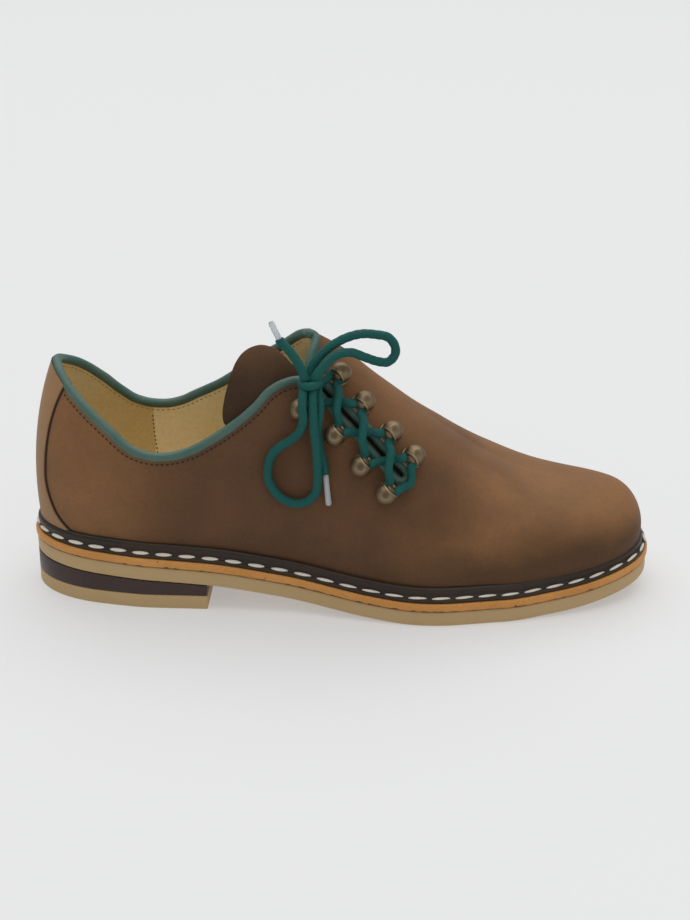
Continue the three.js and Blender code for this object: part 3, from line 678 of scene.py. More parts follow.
knotPiece(knotSet)
tipUp = agletPiece("tip_up", agletUp, "aglet_up", agletSet)
tipDown = agletPiece("tip_down", agletDown, "aglet_down", agletSet)
for name, points, stands, end, tips in (
    ("bow_loop_upper", upperLoop + underWrap, "lace_loop_upper", "object", []),
    ("bow_loop_lower", lowerLoop, "lace_loop_lower", "object", []),
    ("bow_end_up", outerStrand + endUp + agletUp[:1], "lace_end_up", "fitting", [tipUp]),
    ("bow_end_down", innerStrand + endDown + agletDown[:1], "lace_end_down", "fitting", [tipDown]),
):
    cord, path = cordPiece(name, points, stands)
print("bow tied")


# Lacing: one lace from the knot down through the eyelets, round the bar and up again

eyeletDown = {"outer": (0.123, 0.446, 0.753, 0.985), "inner": (0.124, 0.413, 0.714, 0.936)}
eyeletAside = {"outer": (1.34, 0.98, 1.03, 1.04), "inner": (0.97, 0.88, 0.88, 0.88)}


def eyeletFrame(which, i):
    side = -1 if which == "outer" else 1
    at, arc, _, across = slitFrame(eyeletDown[which][i])
    at, arc = walk(at, arc, across, side * eyeletAside[which][i] * eyeletOffset)
    point, _, _, out = skinFrame(at, arc)
    towards = -side * across
    towards = unit(towards - out * np.dot(towards, out))
    third = np.cross(out, towards)
    return {"at": at, "arc": arc, "point": point, "out": out, "towards": towards, "third": third}


eyelets = {which: [eyeletFrame(which, i) for i in range(4)] for which in ("outer", "inner")}

lacingSet = {
    "mouthOut": 0.9,  # share of the ball's radius from its middle to the lace's mouth
    "mouthApart": 0.5,
    "shankRound": 0.1,
    "halfWay": 0.45,
    "lowHeight": laceLow,
    "highHeight": 7.1,
    "thick": 0.94,
    "shares": (0.36, 0.5, 0.64),
    "barRound": 1.6,
}


def throughEyelet(eyelet, first, settings):
    # In by one mouth, round the shank and out by the other. first: the side of the way in.
    inside = eyelet["point"] + eyelet["out"] * tunnelHeight
    mouth = ballRadius * settings["mouthOut"]
    half = settings["halfWay"] * mouth
    apart = ballRadius * settings["mouthApart"]
    shank = ballRadius * settings["shankRound"]
    way = []
    for side, depth in ((first, mouth), (first, half), (0, -shank), (-first, half), (-first, mouth)):
        way.append(inside + eyelet["towards"] * depth + eyelet["third"] * apart * side)
    return way


def strandBetween(a, b, height, bulge, settings):
    points = []
    down = slitFrame(1.0)[2]
    for share in settings["shares"]:
        at = a["at"] + (b["at"] - a["at"]) * share
        arc = a["arc"] + (b["arc"] - a["arc"]) * share
        if bulge:
            at, arc = walk(at, arc, down, bulge * (1 - settings["barRound"] * abs(share - 0.5)))
        point, _, _, out = skinFrame(at, arc)
        points.append(point + out * height)
    return points


def sideOf(eyelet, point):
    return 1 if np.dot(np.array(point) - eyelet["point"], eyelet["third"]) > 0 else -1


def lacingPath(settings):
    outer = eyelets["outer"]
    inner = eyelets["inner"]
    low = settings["lowHeight"]
    high = settings["highHeight"]
    order = [outer[0], inner[1], outer[2], inner[3], outer[3], inner[2], outer[1], inner[0]]
    heights = [low, high, low, barHeight, high, low, high]
    byExit = (1, 2, 5, 6, 7)  # the eyelets whose mouths follow from where the lace goes next
    path = [outerStrand[0]]
    for i, eyelet in enumerate(order):
        first = sideOf(eyelet, path[-1])
        if i in byExit:
            goes = order[i + 1]["point"] if i + 1 < len(order) else innerStrand[0]
            first = -sideOf(eyelet, goes)
        path += throughEyelet(eyelet, first, settings)
        if i + 1 < len(order):
            bulge = barBulge if order[i] is inner[3] else 0
            path += strandBetween(eyelet, order[i + 1], heights[i], bulge, settings)
    path.append(innerStrand[0])
    return smoothCurve(path, spacing=laceSet["ringStep"])


addPiece("lacing", laceMesh(lacingPath(lacingSet), lacingSet["thick"]), laceLook,
         ("lace_cross_1", "lace_cross_2", "lace_cross_3", "lace_bar"))
print("lacing done")


# Leather

def leather(name, colours, grain, roughness, bumpDepth, coat=0.0, sheen=0.0, shine=0.3, extra=None):
    material, tree = newMaterial(name)
    place = placeOn(tree)
    cloud = noise(tree, place, 28, 4, Roughness=0.6)
    base = blend(tree, ramp(tree, cloud, 0.35, 0.68), colour(colours[0]), colour(colours[1]))
    fine = ramp(tree, noise(tree, place, grain * 3, 6), 0.35, 0.65, 0.95, 1.05)
    base = brighten(tree, base, fine)
    if extra:
        base = extra(tree, place, base)
    pores = node(tree, "ShaderNodeTexVoronoi", {"Vector": place, "Scale": perMetre(grain)}, feature="F1")
    nap = noise(tree, place, grain * 0.8, 8)
    grained = node(tree, "ShaderNodeMix", {"Factor": 0.5, "A": pores.outputs["Distance"], "B": nap})
    return shaded(material, tree, {
        "Base Color": base,
        "Roughness": ramp(tree, cloud, 0.3, 0.7, roughness - 0.07, roughness + 0.07),
        "Normal": bump(tree, grained.outputs["Result"], 0.6, bumpDepth),
        "Specular IOR Level": shine,
        "Coat Weight": coat,
        "Coat Roughness": 0.3,
        "Sheen Weight": sheen,
        "Sheen Roughness": 0.5,
    })


# Places in metres, and how bright the hide is painted there, painted light on top and painted shade low
# down included
toneSet = {
    "drift": 0.011,
    "toe": (0.11, 0.205),
    "heel": (0.05, -0.03),
    "top": (0.055, 0.085),
    "topFrom": (0.07, 0.13),
    "topShare": 0.75,
    "low": (0.044, 0.025),
    "dark": 0.95,
    "pale": 1.62,
    "lowMid": 0.85,
    "lowToe": 0.4,
}


def nubuckToneAndPaintedLight(tree, place, base):
    # Paler at toe cap and heel and darker at the side; the top of the upper is painted paler, a painted
    # highlight from the overhead light, and the forefoot is painted darker low down, a painted shade
    axes = axesOf(tree, place)
    drift = fade(tree, noise(tree, place, 55, 3), 0.3, 0.7, -toneSet["drift"], toneSet["drift"])
    x = combine(tree, axes["X"], drift)
    z = combine(tree, axes["Z"], combine(tree, drift, 0.35, "MULTIPLY"))
    toe = fade(tree, x, *toneSet["toe"])
    heel = fade(tree, x, *toneSet["heel"])
    pale = combine(tree, toe, heel, "MAXIMUM")
    # painted highlight: paler along the top of the upper
    top = combine(tree, fade(tree, z, *toneSet["top"]), fade(tree, x, *toneSet["topFrom"]), "MULTIPLY")
    pale = combine(tree, pale, combine(tree, top, toneSet["topShare"], "MULTIPLY"), "MAXIMUM")
    value = fade(tree, pale, 0, 1, toneSet["dark"], toneSet["pale"])
    # painted shade: darker low along the forefoot, most at the toe
    deep = fade(tree, toe, 0, 1, 1 - toneSet["lowMid"], 1 - toneSet["lowToe"])
    low = combine(tree, fade(tree, z, *toneSet["low"]), fade(tree, heel, 0.6, 0), "MULTIPLY")
    kept = combine(tree, 1.0, combine(tree, deep, low, "MULTIPLY"), "SUBTRACT")
    hue = blend(tree, pale, colour("#f2e4d8"), colour("#fff2d8"))
    tinted = blend(tree, 1.0, base, hue, "MULTIPLY")
    return brighten(tree, tinted, combine(tree, value, kept, "MULTIPLY"))


def tonguePaintedLight(tree, place, base):
    # Paler at the tip, a painted highlight where the tip stands above the collar, and darker below, a
    # painted shade
    return brighten(tree, base, fade(tree, axesOf(tree, place)["Z"], 0.105, 0.126, 0.85, 2.1))


def counterTone(tree, place, base):
    # The heel pocket is a second layer of lining, darker up to its seam
    pocket = ramp(tree, axesOf(tree, place)["X"], 0.0112, 0.0118)
    shade = blend(tree, pocket, colour("#dfd5c0"), colour("#ffffff"))
    return blend(tree, 1.0, base, shade, "MULTIPLY")


def cutEdgeAndShadow(tree, place, base):
    # The strip's cut edges are painted dark: the dark core of the hide, and a painted shadow along the
    # raised edge
    across = axesOf(tree, placeOn(tree, "UV"))["X"]
    fromMiddle = combine(tree, combine(tree, across, 0.5, "SUBTRACT"), 0, "ABSOLUTE")
    return blend(tree, ramp(tree, fromMiddle, 0.482, 0.49), base, colour("#2a1a10"))


def jointMarks(tree, place, base):
    # Dark crumbs of cement and dye along the lower joint of the midsole
    band = fade(tree, axesOf(tree, placeOn(tree, "UV"))["Y"], 0.505, 0.44)
    grit = combine(tree, noise(tree, place, 3.2, 5), combine(tree, band, 0.22, "MULTIPLY"))
    return blend(tree, fade(tree, grit, 0.7, 0.76), base, colour("#5a3014"))


# Oiled nubuck: cowhide buffed on its grain side and oiled, matt, with a fine nap and soft clouds
nubuckLook = leather("oiledNubuck", ("#644a33", "#71543c"), 0.5, 0.66, 0.05, sheen=0.04, shine=0.22,
                     extra=nubuckToneAndPaintedLight)
# The same hide for the back strip, in a paler colour, its cut edges dark with a painted shadow along them
backLook = leather("oiledNubuckPale", ("#957049", "#a17b55"), 0.5, 0.62, 0.05, sheen=0.04, extra=cutEdgeAndShadow)
# Tongue: nubuck in a darker colour, a painted shade for its place in the slit under the laces; unlined,
# and the raw hide at its cut edge, with the tip painted paler
tongueLook = leather("tongueNubuck", ("#43301f", "#523a28"), 0.5, 0.7, 0.05, sheen=0.04, shine=0.2,
                     extra=tonguePaintedLight)
rawLook = leather("rawHideEdge", ("#8c6a48", "#a07d58"), 0.4, 0.7, 0.04)
# Binding: thin vegetable tanned calf, dyed through, rolled and slightly polished
bindingLook = leather("rolledCalf", ("#446459", "#576f64"), 0.35, 0.46, 0.03, coat=0.08)
# Lining: undyed pigskin and calf, smooth, creamy, with small pores
liningLook = leather("liningCalf", ("#fde6ae", "#fff0c4"), 0.6, 0.55, 0.02, extra=counterTone)
sockLook = leather("sockCalf", ("#d8bf8a", "#e0ca98"), 0.6, 0.5, 0.02)
# Welt: bridle leather, stained nearly black and waxed
weltLook = leather("waxedWelt", ("#2b2118", "#382b1f"), 0.4, 0.44, 0.03, coat=0.08)
# Midsole: vegetable tanned leather cut across its fibres, waxed orange tan
midsoleLook = leather("wedgeLeather", ("#c58640", "#d29550"), 0.3, 0.5, 0.04, coat=0.05, extra=jointMarks)
# Heel block: stacked board, dyed dark brown and burnished
liftLook = leather("burnishedStack", ("#3a2a28", "#43322e"), 0.5, 0.45, 0.03, coat=0.05)


# Rubber, thread and metal

def rubberMaterial():
    # Crepe rubber cut from sheet: matt, faintly milky, with fine saw marks and dust
    material, tree = newMaterial("crepeRubber")
    place = placeOn(tree)
    return shaded(material, tree, {
        "Base Color": blend(tree, noise(tree, place, 22, 5), colour("#b59767"), colour("#c3a678")),
        "Roughness": 0.62,
        "Normal": bump(tree, noise(tree, place, 0.45, 4), 0.5, 0.06),
        "Subsurface Weight": 0.06,
        "Subsurface Radius": (0.004, 0.003, 0.0015),
    })


def threadMaterial(name, shade, roughness):
    # Waxed thread: plies twisted about every millimetre
    material, tree = newMaterial(name)
    place = placeOn(tree)
    twist = node(tree, "ShaderNodeTexWave", {"Vector": place, "Scale": perMetre(6), "Distortion": 1.0},
                 wave_type="BANDS", bands_direction="DIAGONAL")
    return shaded(material, tree, {
        "Base Color": blend(tree, noise(tree, place, 4, 2), colour(shade), colour(shade, 0.8)),
        "Roughness": roughness,
        "Normal": bump(tree, twist.outputs["Fac"], 0.4, 0.1),
    })


def bronzeMaterial():
    # Brass plated in antique bronze: warm grey brown, dark in hollows, rubbed bright on the rims
    material, tree = newMaterial("antiqueBronze")
    cloud = noise(tree, placeOn(tree), 3, 5)
    edge = node(tree, "ShaderNodeNewGeometry").outputs["Pointiness"]
    plated = blend(tree, cloud, colour("#4d3f2a"), colour("#675640"))
    return shaded(material, tree, {
        "Base Color": blend(tree, ramp(tree, edge, 0.49, 0.54), plated, colour("#a39073")),
        "Metallic": 1.0,
        "Roughness": ramp(tree, cloud, 0, 1, 0.4, 0.6),
    })


rubberLook = rubberMaterial()
linenLook = threadMaterial("waxedLinen", "#e9e2d3", 0.5)
darkThreadLook = threadMaterial("brownThread", "#1a110b", 0.6)
paleThreadLook = threadMaterial("paleThread", "#b3955f", 0.6)
seamThreadLook = threadMaterial("seamThread", "#6d5433", 0.6)
bronzeLook = bronzeMaterial()
print("materials made")


# Sole: each layer is a slab whose rim follows a profile of (inset, height) pairs

soleSet = {
    "turns": 220,
    "across": 14,
    "middleBack": 0.1,  # where the slab's middle line starts, and its length, as shares of the sole
    "middleLong": 0.78,
    "outsoleRound": 0.7,
    "midsoleRound": 0.9,
}


def slab(profile, turns, across, base=0.0, inward=None):
    rim = np.array(profile, float)
    rows = np.linspace(0, 1, across)
    share = np.concatenate([rows, np.ones(len(rim) - 2), rows[::-1]])
    inset, height = (
        np.concatenate([np.full(across, column[0]), column[1:-1], np.full(across, column[-1])])
        for column in rim.T
    )
    last = len(share) - 1

    def place(u, v):
        i = np.rint(v * last).astype(int)
        at = shareAt(u)
        edge = insetPoint(u, inset[i] + (inward(u) if inward else 0))
        middleX = soleBack + soleLength * (soleSet["middleBack"] + soleSet["middleLong"] * at)
        middle = np.stack([middleX, ballWidth * along(planTable, "swing", at)], -1)
        p = middle + (edge - middle) * share[i][:, None]
        return np.column_stack([p, underside(p[:, 0]) + base + height[i]])

    return gridMesh(turns, last, place)


def roundedRim(inset, low, high, radius, steps=4):
    turn = np.linspace(0, np.pi / 2, steps)
    lower = [(inset + radius * (1 - math.sin(a)), low + radius * (1 - math.cos(a))) for a in turn]
    upper = [(inset + radius * (1 - math.cos(a)), high - radius * (1 - math.sin(a))) for a in turn]
    return lower + upper


def soleLayer(inset, low, high, radius):
    return slab(roundedRim(inset, low, high, radius), round(soleSet["turns"] * detail), soleSet["across"])


addPiece("outsole_layer", soleLayer(outsoleInset, 0, outsoleThick, soleSet["outsoleRound"]), rubberLook,
         ("outsole",))
addPiece("midsole_layer", soleLayer(0, midsoleLow, topOfMidsole, soleSet["midsoleRound"]), midsoleLook,
         ("midsole",))

heelSet = {
    "turns": 120,
    "breastPoints": 14,
    "topLiftRound": 0.5,
    "liftRound": 0.25,
    "roundSteps": 3,
    "sharp": 1.0,
}


def heelSlab(lowAt, highAt, radius, settings):
    # A heel layer: a ring along the edge cut straight at the breast, drawn up and its rim rounded
    share = (heelBreast - soleBack) / soleLength
    breastTurn = math.acos(1 - 2 * share) / (2 * math.pi)
    turn = np.linspace(-breastTurn, breastTurn, round(settings["turns"] * detail))
    curve = insetPoint(turn % 1, np.full(len(turn), outsoleInset))
    curve[:, 0] = np.minimum(curve[:, 0], heelBreast)
    breast = np.linspace(0, 1, settings["breastPoints"])[1:-1, None]
    ring = np.vstack([curve, curve[-1] + (curve[0] - curve[-1]) * breast])
    bm = bmesh.new()
    made = bmesh.ops.create_circle(bm, segments=len(ring), radius=1, cap_ends=True)
    for vert, (x, y) in zip(made["verts"], ring):
        vert.co = Vector((x, y, lowAt(x))) * mm
    top = bmesh.ops.extrude_face_region(bm, geom=list(bm.faces))
    for vert in (v for v in top["geom"] if isinstance(v, bmesh.types.BMVert)):
        vert.co.z = highAt(vert.co.x / mm) * mm
    bmesh.ops.recalc_face_normals(bm, faces=bm.faces)
    rims = [e for e in bm.edges if len(e.link_faces) == 2 and e.calc_face_angle() > settings["sharp"]]
    bmesh.ops.bevel(bm, geom=rims, offset=radius * mm, segments=settings["roundSteps"], profile=0.5,
                    affect="EDGES", material=-1)
    bmesh.ops.triangulate(bm, faces=[f for f in bm.faces if len(f.verts) > 4])
    return bm


def liftTop(x):
    return float(underside(np.array(x))) - gap


addPiece("top_lift_layer", heelSlab(lambda x: 0, lambda x: topLiftThick, heelSet["topLiftRound"], heelSet),
         rubberLook, ("top_lift",))
addPiece("heel_lift_layer", heelSlab(lambda x: topLiftThick + gap, liftTop, heelSet["liftRound"], heelSet),
         liftLook, ("heel_lift",))

insoleSet = {
    "turns": 180,
    "across": 12,
    "rim": ((0.4, 0), (0, 0.4), (0, insoleThick - 0.7), (0.7, insoleThick)),
}


def insideUpper(turn):
    return featherAt(turn) + upperWall + insoleClear


insoleMesh = slab(insoleSet["rim"], insoleSet["turns"], insoleSet["across"], seatOfUpper, insideUpper)
addPiece("sock_lining", insoleMesh, sockLook, ("insole",))


# Welt: a ledge with its stitches, and a bead against the upper

weltSet = {
    "turns": 260,
    "heelStep": 0.6,  # the ledge is drawn in by this at the back
    "heelShare": 0.1,
    "beadAngles": (200, 175, 150, 125, 100, 75, 50),
    "stitchPitch": 10.7,
    "stitchLong": 7.8,
    "stitchWide": 2.1,
    "stitchHigh": 1.3,
    "stitchIn": 1.42,  # shares of the bead's thickness in from the feather
    "stitchNearest": 1.7,
    "stitchLift": 0.2,
    "stitchTilt": 0.25,
    "stitchSkew": 0.06,
    "toeFrom": 60,
    "toeLonger": 0.1,
    "toeThinner": 0.35,
}


def weltProfile(turn, settings):
    # (inset, height) from the foot of the ledge over the stitch groove and the bead to behind the upper
    feather = featherAt(turn)
    bead = feather - beadThick / 2 - 0.1
    edge = midsoleProud + settings["heelStep"] * np.clip(1 - shareAt(turn) / settings["heelShare"], 0, 1)
    points = [
        (edge + 0.3, 0),
        (edge, 0.25),
        (edge, weltThick - 0.35),
        (edge + 0.3, weltThick),
        (np.maximum(feather - 1.6 * beadThick, edge + 0.4), weltThick + 0.1),
        (np.maximum(feather - 1.25 * beadThick, edge + 0.5), weltThick - 0.1),
        (np.maximum(feather - 1.1 * beadThick, edge + 0.6), weltThick + 0.15),
    ]
    for degrees in settings["beadAngles"]:
        angle = math.radians(degrees)
        height = 0.66 * beadHeight + 0.34 * beadHeight * math.sin(angle)
        points.append((bead + 0.1 + 0.5 * beadThick * math.cos(angle), height))
    points.append((feather + 0.6 * upperWall, 0.8 * beadHeight))
    points.append((feather + upperWall, 0.4 * beadHeight))
    points.append((feather + upperWall, 0))
    return points


def weltMesh(settings):
    count = len(weltProfile(np.array(0.0), settings))

    def place(u, v):
        i = np.rint(v * count).astype(int) % count
        insets, heights = zip(*weltProfile(u, settings))
        inset = np.choose(i, [np.broadcast_to(value, u.shape) for value in insets])
        height = np.choose(i, [np.broadcast_to(value, u.shape) for value in heights])
        p = insetPoint(u, inset)
        return np.column_stack([p, underside(p[:, 0]) + topOfMidsole + gap + height])

    return gridMesh(round(settings["turns"] * detail), count, place)


addPiece("storm_welt", weltMesh(weltSet), weltLook, ("welt",))


def spotsAlong(run, pitch):
    count = round(run[-1] / pitch)
    return (np.arange(count) + 0.5) * run[-1] / count


def stitchRow(name, places, sizes, material, sides, rings):
    # places: middle, direction along, direction out. sizes: length, width, height of each stitch
    bm = bmesh.new()
    turned = Matrix.Rotation(math.pi / 2, 4, "Y")
    for (middle, ahead, out), size in zip(places, sizes):
        axes = np.column_stack([ahead, np.cross(out, ahead), out]) * (np.array(size) / 2)
        shape = Matrix(axes.tolist()).to_4x4()
        matrix = Matrix.Diagonal((mm, mm, mm, 1)) @ Matrix.Translation(Vector(middle)) @ shape @ turned
        bmesh.ops.create_uvsphere(bm, u_segments=sides, v_segments=rings, radius=1, matrix=matrix)
    addPiece(name, bm, material)


def stitchInset(turn):
    return np.maximum(featherAt(turn) - weltSet["stitchIn"] * beadThick, weltSet["stitchNearest"])


def weltStitches(settings):
    turn = np.linspace(0, 1, 2000)
    run = runAlong(insetPoint(turn, stitchInset(turn)))
    places = []
    sizes = []
    for spot in np.interp(spotsAlong(run, settings["stitchPitch"]), run, turn):
        t = np.array([spot - 0.002, spot, spot + 0.002])
        p = insetPoint(t, stitchInset(t))
        z = underside(p[:, 0]) + topOfMidsole + gap + weltThick + settings["stitchLift"]
        p = np.column_stack([p, z])
        ahead = unit(p[2] - p[0])
        side = unit(np.cross([0, 0, 1], ahead))
        out = unit(np.cross(ahead, side) - settings["stitchTilt"] * side)
        ahead = unit(ahead + side * settings["stitchSkew"])
        places.append((p[1], ahead, unit(np.cross(ahead, np.cross(out, ahead)))))
        # drawn longer and thinner round the toe
        toe = min(max((p[1][0] - settings["toeFrom"]) / settings["toeFrom"], 0), 1)
        long = settings["stitchLong"] * (1 + settings["toeLonger"] * toe)
        wide = settings["stitchWide"] * (1 - settings["toeThinner"] * toe)
        sizes.append((long, wide, settings["stitchHigh"]))
    stitchRow("welt_stitches", places, sizes, linenLook, 10, 10)


weltStitches(weltSet)
print("sole done")


# Upper: the skin of the last with the opening cut out, and the lining inside it

upperSet = {
    "columns": 250,
    "rows": 180,
    "outerWall": 1.3,
    "liningDepth": 1.5,
    "liningWall": 0.8,
    "edgeBand": 0.02,
    "backWidth": 0.004,
    "backSpare": 0.006,
    "steadyArc": 0.012,
}

# Hollows and swellings of the worn in leather: centre, reach and height
reliefSpots = (
    ((128, -33, 62), (18, 16, 9), -0.25),
    ((146, -36, 50), (22, 16, 9), 0.2),
    ((118, 30, 66), (20, 16, 9), -0.3),
    ((70, -40, 36), (26, 10, 10), -0.5),
    ((60, 38, 38), (26, 10, 10), -0.5),
    ((16, -34, 44), (14, 10, 12), 0.4),
)


def insideOpening(at, arc):
    inside = np.zeros(len(at), bool)
    nextAt = np.roll(loopAt, -1)
    nextArc = np.roll(loopArc, -1)
    for a0, r0, a1, r1 in zip(loopAt, loopArc, nextAt, nextArc):
        crosses = (r0 > arc) != (r1 > arc)
        if crosses.any():
            inside ^= crosses & (at < a0 + (arc - r0) * (a1 - a0) / (r1 - r0 + 1e-15))
    return inside


def relief(at, arc):
    p = skinPoint(at, arc)
    bumps = np.zeros(len(at))
    for centre, reach, high in reliefSpots:
        d = (p - np.array(centre)) / np.array(reach)
        bumps += high * np.exp(-(d ** 2).sum(-1))
    return bumps


def flatSkin(u, v):
    return np.column_stack([0.5 * u, v, np.zeros(len(u))]) / mm


def shellMesh(depth, worn, settings):
    bm = gridMesh(round(settings["columns"] * detail), round(settings["rows"] * detail), flatSkin, weld=0)
    faces = list(bm.faces)
    centres = np.array([f.calc_center_median()[:2] for f in faces])
    gone = insideOpening(centres[:, 0], centres[:, 1])
    bmesh.ops.delete(bm, geom=[f for f, g in zip(faces, gone) if g], context="FACES")
    verts = list(bm.verts)
    flat = np.array([v.co[:2] for v in verts])
    band = settings["edgeBand"]
    rim = np.array([v.is_boundary and band < v.co.y < 1 - band and v.co.x < 0.499 for v in verts])
    skin = skinPoint(flat[:, 0], flat[:, 1])
    collarBack = loopArc[loopAt < settings["backWidth"]]
    lowArc = collarBack.min() - settings["backSpare"]
    highArc = collarBack.max() + settings["backSpare"]
    for i in np.nonzero(rim)[0]:
        # the back seam's own edge stays where it is
        if flat[i, 0] < 1e-6 and not lowArc <= flat[i, 1] <= highArc:
            continue
        near = ((loopSkin - skin[i]) ** 2).sum(-1).argmin()
        flat[i] = loopAt[near], loopArc[near]
    at, arc = flat.T
    steady = np.clip(arc, settings["steadyArc"], 1 - settings["steadyArc"])
    out = skinFrame(np.clip(at, 0.004, 0.496), steady)[3]
    push = (relief(at, arc) if worn else np.zeros(len(at))) - depth
    for vert, p in zip(verts, (skinPoint(at, arc) + out * push[:, None]) * mm):
        vert.co = p
    bmesh.ops.remove_doubles(bm, verts=bm.verts, dist=0.05 * mm)
    return bm


upper = addPiece("upper_leather", shellMesh(0, True, upperSet), nubuckLook, ("upper",))
thicken(upper, upperSet["outerWall"])
liningMesh = shellMesh(upperSet["liningDepth"], False, upperSet)
lining = addPiece("lining", liningMesh, liningLook)
thicken(lining, upperSet["liningWall"])
print("upper done")


# Binding roll round the opening

bindingSet = {"sides": 20, "steps": 700, "crease": 0.025}


def bindingMesh(settings):
    steps = round(settings["steps"] * detail)
    point, out, side = openingLoop(steps)

    def place(u, v):
        i = np.rint(u * steps).astype(int) % steps
        angle = 2 * np.pi * v
        creases = np.sin(u * 211) * np.sin(3 * angle + u * 90)
        radius = bindingRadius * (1 + settings["crease"] * creases)
        ring = out[i] * np.cos(angle)[:, None] + side[i] * np.sin(angle)[:, None]
        return point[i] + ring * radius[:, None]

    return gridMesh(steps, settings["sides"], place)


addPiece("binding_roll", bindingMesh(bindingSet), bindingLook, ("collar_binding",))


# Seams of small stitches, sizes as length, width and height

seamTable = {"arc": (0.86, 0.89, 0.92, 0.945), "at": (0.143, 0.145, 0.147, 0.148)}
insideLining = -(upperSet["liningDepth"] + upperSet["liningWall"])
pocketSet = {"pitch": 2.3, "lift": insideLining, "size": (1.2, 0.8, 0.5)}
outerRowSet = {"pitch": 2.4, "lift": 0.1, "size": (1.6, 0.7, 0.5)}
innerRowSet = {"pitch": 2.6, "lift": insideLining, "size": (1.7, 0.5, 0.5)}
rowFromRoll = 1.1
lastStitch = 86  # further forward the rows lie under the fold of the binding


def skinStitches(name, at, arc, settings, material):
    line, _, _, normals = skinFrame(at, arc)
    run = runAlong(line)
    spots = spotsAlong(run, settings["pitch"])

    def between(values, where):
        return np.stack([np.interp(where, run, values[:, k]) for k in range(3)], -1)

    middles = between(line, spots)
    aheads = unit(between(line, spots + 0.3) - middles)
    outs = between(normals, spots)
    outs = unit(outs - aheads * (outs * aheads).sum(-1, keepdims=True))
    rows = zip(middles, aheads, outs)
    places = [(m + o * settings["lift"], a, o) for m, a, o in rows if m[0] < lastStitch]
    stitchRow(name, places, [settings["size"]] * len(places), material, 6, 4)


seamArc = np.linspace(seamTable["arc"][0], seamTable["arc"][-1], 60)
seamAt = np.interp(seamArc, seamTable["arc"], seamTable["at"])
rowAt, rowArc = dropOnSkin(loopSkin[::3] - loopSide[::3] * (bindingRadius + rowFromRoll))
rowAt = np.append(rowAt, rowAt[0])
rowArc = np.append(rowArc, rowArc[0])
skinStitches("pocket_seam", seamAt, seamArc, pocketSet, seamThreadLook)
skinStitches("binding_stitches", rowAt, rowArc, outerRowSet, darkThreadLook)
skinStitches("lining_stitches", rowAt, rowArc, innerRowSet, paleThreadLook)
print("binding done")


# Strip over the back seam

backTable = {"at": (0, 0.14, 0.36, 1.5), "half": (0.72, 0.6, 0.5, 0.49)}
backSet = {
    "columns": 70,
    "rows": 90,
    "overBead": 1.0,
    "collarWithin": 30,
    "tableShare": 0.97,
    "edgeRound": 0.05,
    "lift": 0.05,
}


def backPlace(y, z):
    # Turn and rise of the last's point at the back with that y and z
    step = 1e-4
    turn = -y / 350
    rise = (z - 30) / 120
    for _ in range(14):
        p = lastPoint(turn, rise)
        dt = (lastPoint(turn + step, rise) - p) / step
        dr = (lastPoint(turn, rise + step) - p) / step
        ey = y - p[..., 1]
        ez = z - p[..., 2]
        det = dt[..., 1] * dr[..., 2] - dr[..., 1] * dt[..., 2]
        turn = turn + np.clip((ey * dr[..., 2] - ez * dr[..., 1]) / det, -0.01, 0.01)
        rise = np.clip(rise + (ez * dt[..., 1] - ey * dt[..., 2]) / det, 0.01, 0.95)
    return turn, rise


def backStrip(settings):
    low = underside(np.array(soleBack)) + seatOfUpper + beadHeight - settings["overBead"]
    collar = loopSkin[loopSkin[:, 0] < soleBack + settings["collarWithin"]]
    collar = collar[np.argsort(collar[:, 1])]
    middle = ballWidth * planTable["swing"][0]

    def place(u, v):
        half = backstayWidth * along(backTable, "half", v * settings["tableShare"])
        s = 2 * u - 1
        y = middle + s * half
        top = np.interp(y, collar[:, 1], collar[:, 2])
        turn, rise = backPlace(y, low + (top - low) * v)
        swell = backstayThick * np.clip((1 - np.abs(s)) / settings["edgeRound"], 0, 1) ** 0.5
        return lastPoint(turn, rise) + lastNormal(turn, rise) * (settings["lift"] + swell)[:, None]

    return gridMesh(round(settings["columns"] * detail), round(settings["rows"] * detail), place)


addPiece("back_strip", backStrip(backSet), backLook, ("backstay",), outward=False)
print("back strip done")


# Tongue: rows of at, and of arc at its outer and its inner edge

tongueTable = (
    (0.302, 0.2, 0.245), (0.296, 0.178, 0.27), (0.286, 0.176, 0.29), (0.274, 0.19, 0.308),
    (0.262, 0.21, 0.328), (0.25, 0.228, 0.347), (0.24, 0.242, 0.362), (0.232, 0.248, 0.368),
    (0.226, 0.245, 0.35), (0.22, 0.238, 0.348), (0.213, 0.225, 0.363), (0.2055, 0.21, 0.375),
    (0.198, 0.2, 0.374), (0.193, 0.198, 0.362), (0.189, 0.204, 0.342), (0.187, 0.222, 0.318),
    (0.1863, 0.25, 0.292),
)
tongueSet = {"columns": 60, "rows": 120, "evenOut": (400, 200, 200)}


def tongueMesh(settings):
    evenOut = np.array(settings["evenOut"])
    rows = smoothCurve(np.array(tongueTable) * evenOut, count=settings["rows"]) / evenOut
    depth = upperWall / 2 + bindingRadius + tongueClear
    last = settings["rows"] - 1

    def place(u, v):
        at, outer, inner = rows[np.rint(v * last).astype(int)].T
        point, _, _, out = skinFrame(at, outer + (inner - outer) * u)
        return point - out * depth

    return gridMesh(settings["columns"], last, place)


tongue = addPiece("tongue_leather", tongueMesh(tongueSet), tongueLook, ("tongue",), False)
thicken(tongue, tongueThick, rawLook)
print("tongue done")


# Ball eyelets: a turned ball with a flat on top, spun from its profile, on a flanged foot

eyeletSet = {
    "around": 64,
    "foot": ((0, 0.1), (4.8, 0.1), (5.1, 0.3), (5.1, 0.5), (4.8, 0.7), (3, 0.85), (2.6, 1)),
    "ballEnd": 56,  # degrees up and down from the ball's middle
    "ballStep": 4,
    "cap": ((2.35, 0.3), (1.9, 0.42), (1.3, 0.44), (0.6, 0.42), (0, 0.41)),
    "mouthWay": (1.0, 0, 0.12),
    "mouthOpen": 50,
    "mouthDeep": 0.5,
    "mouthSoft": 1.2,
    "mouthAbove": 1.6,
    "rimHigh": 0.14,
    "rimOut": 5,
    "rimWide": 4,
}


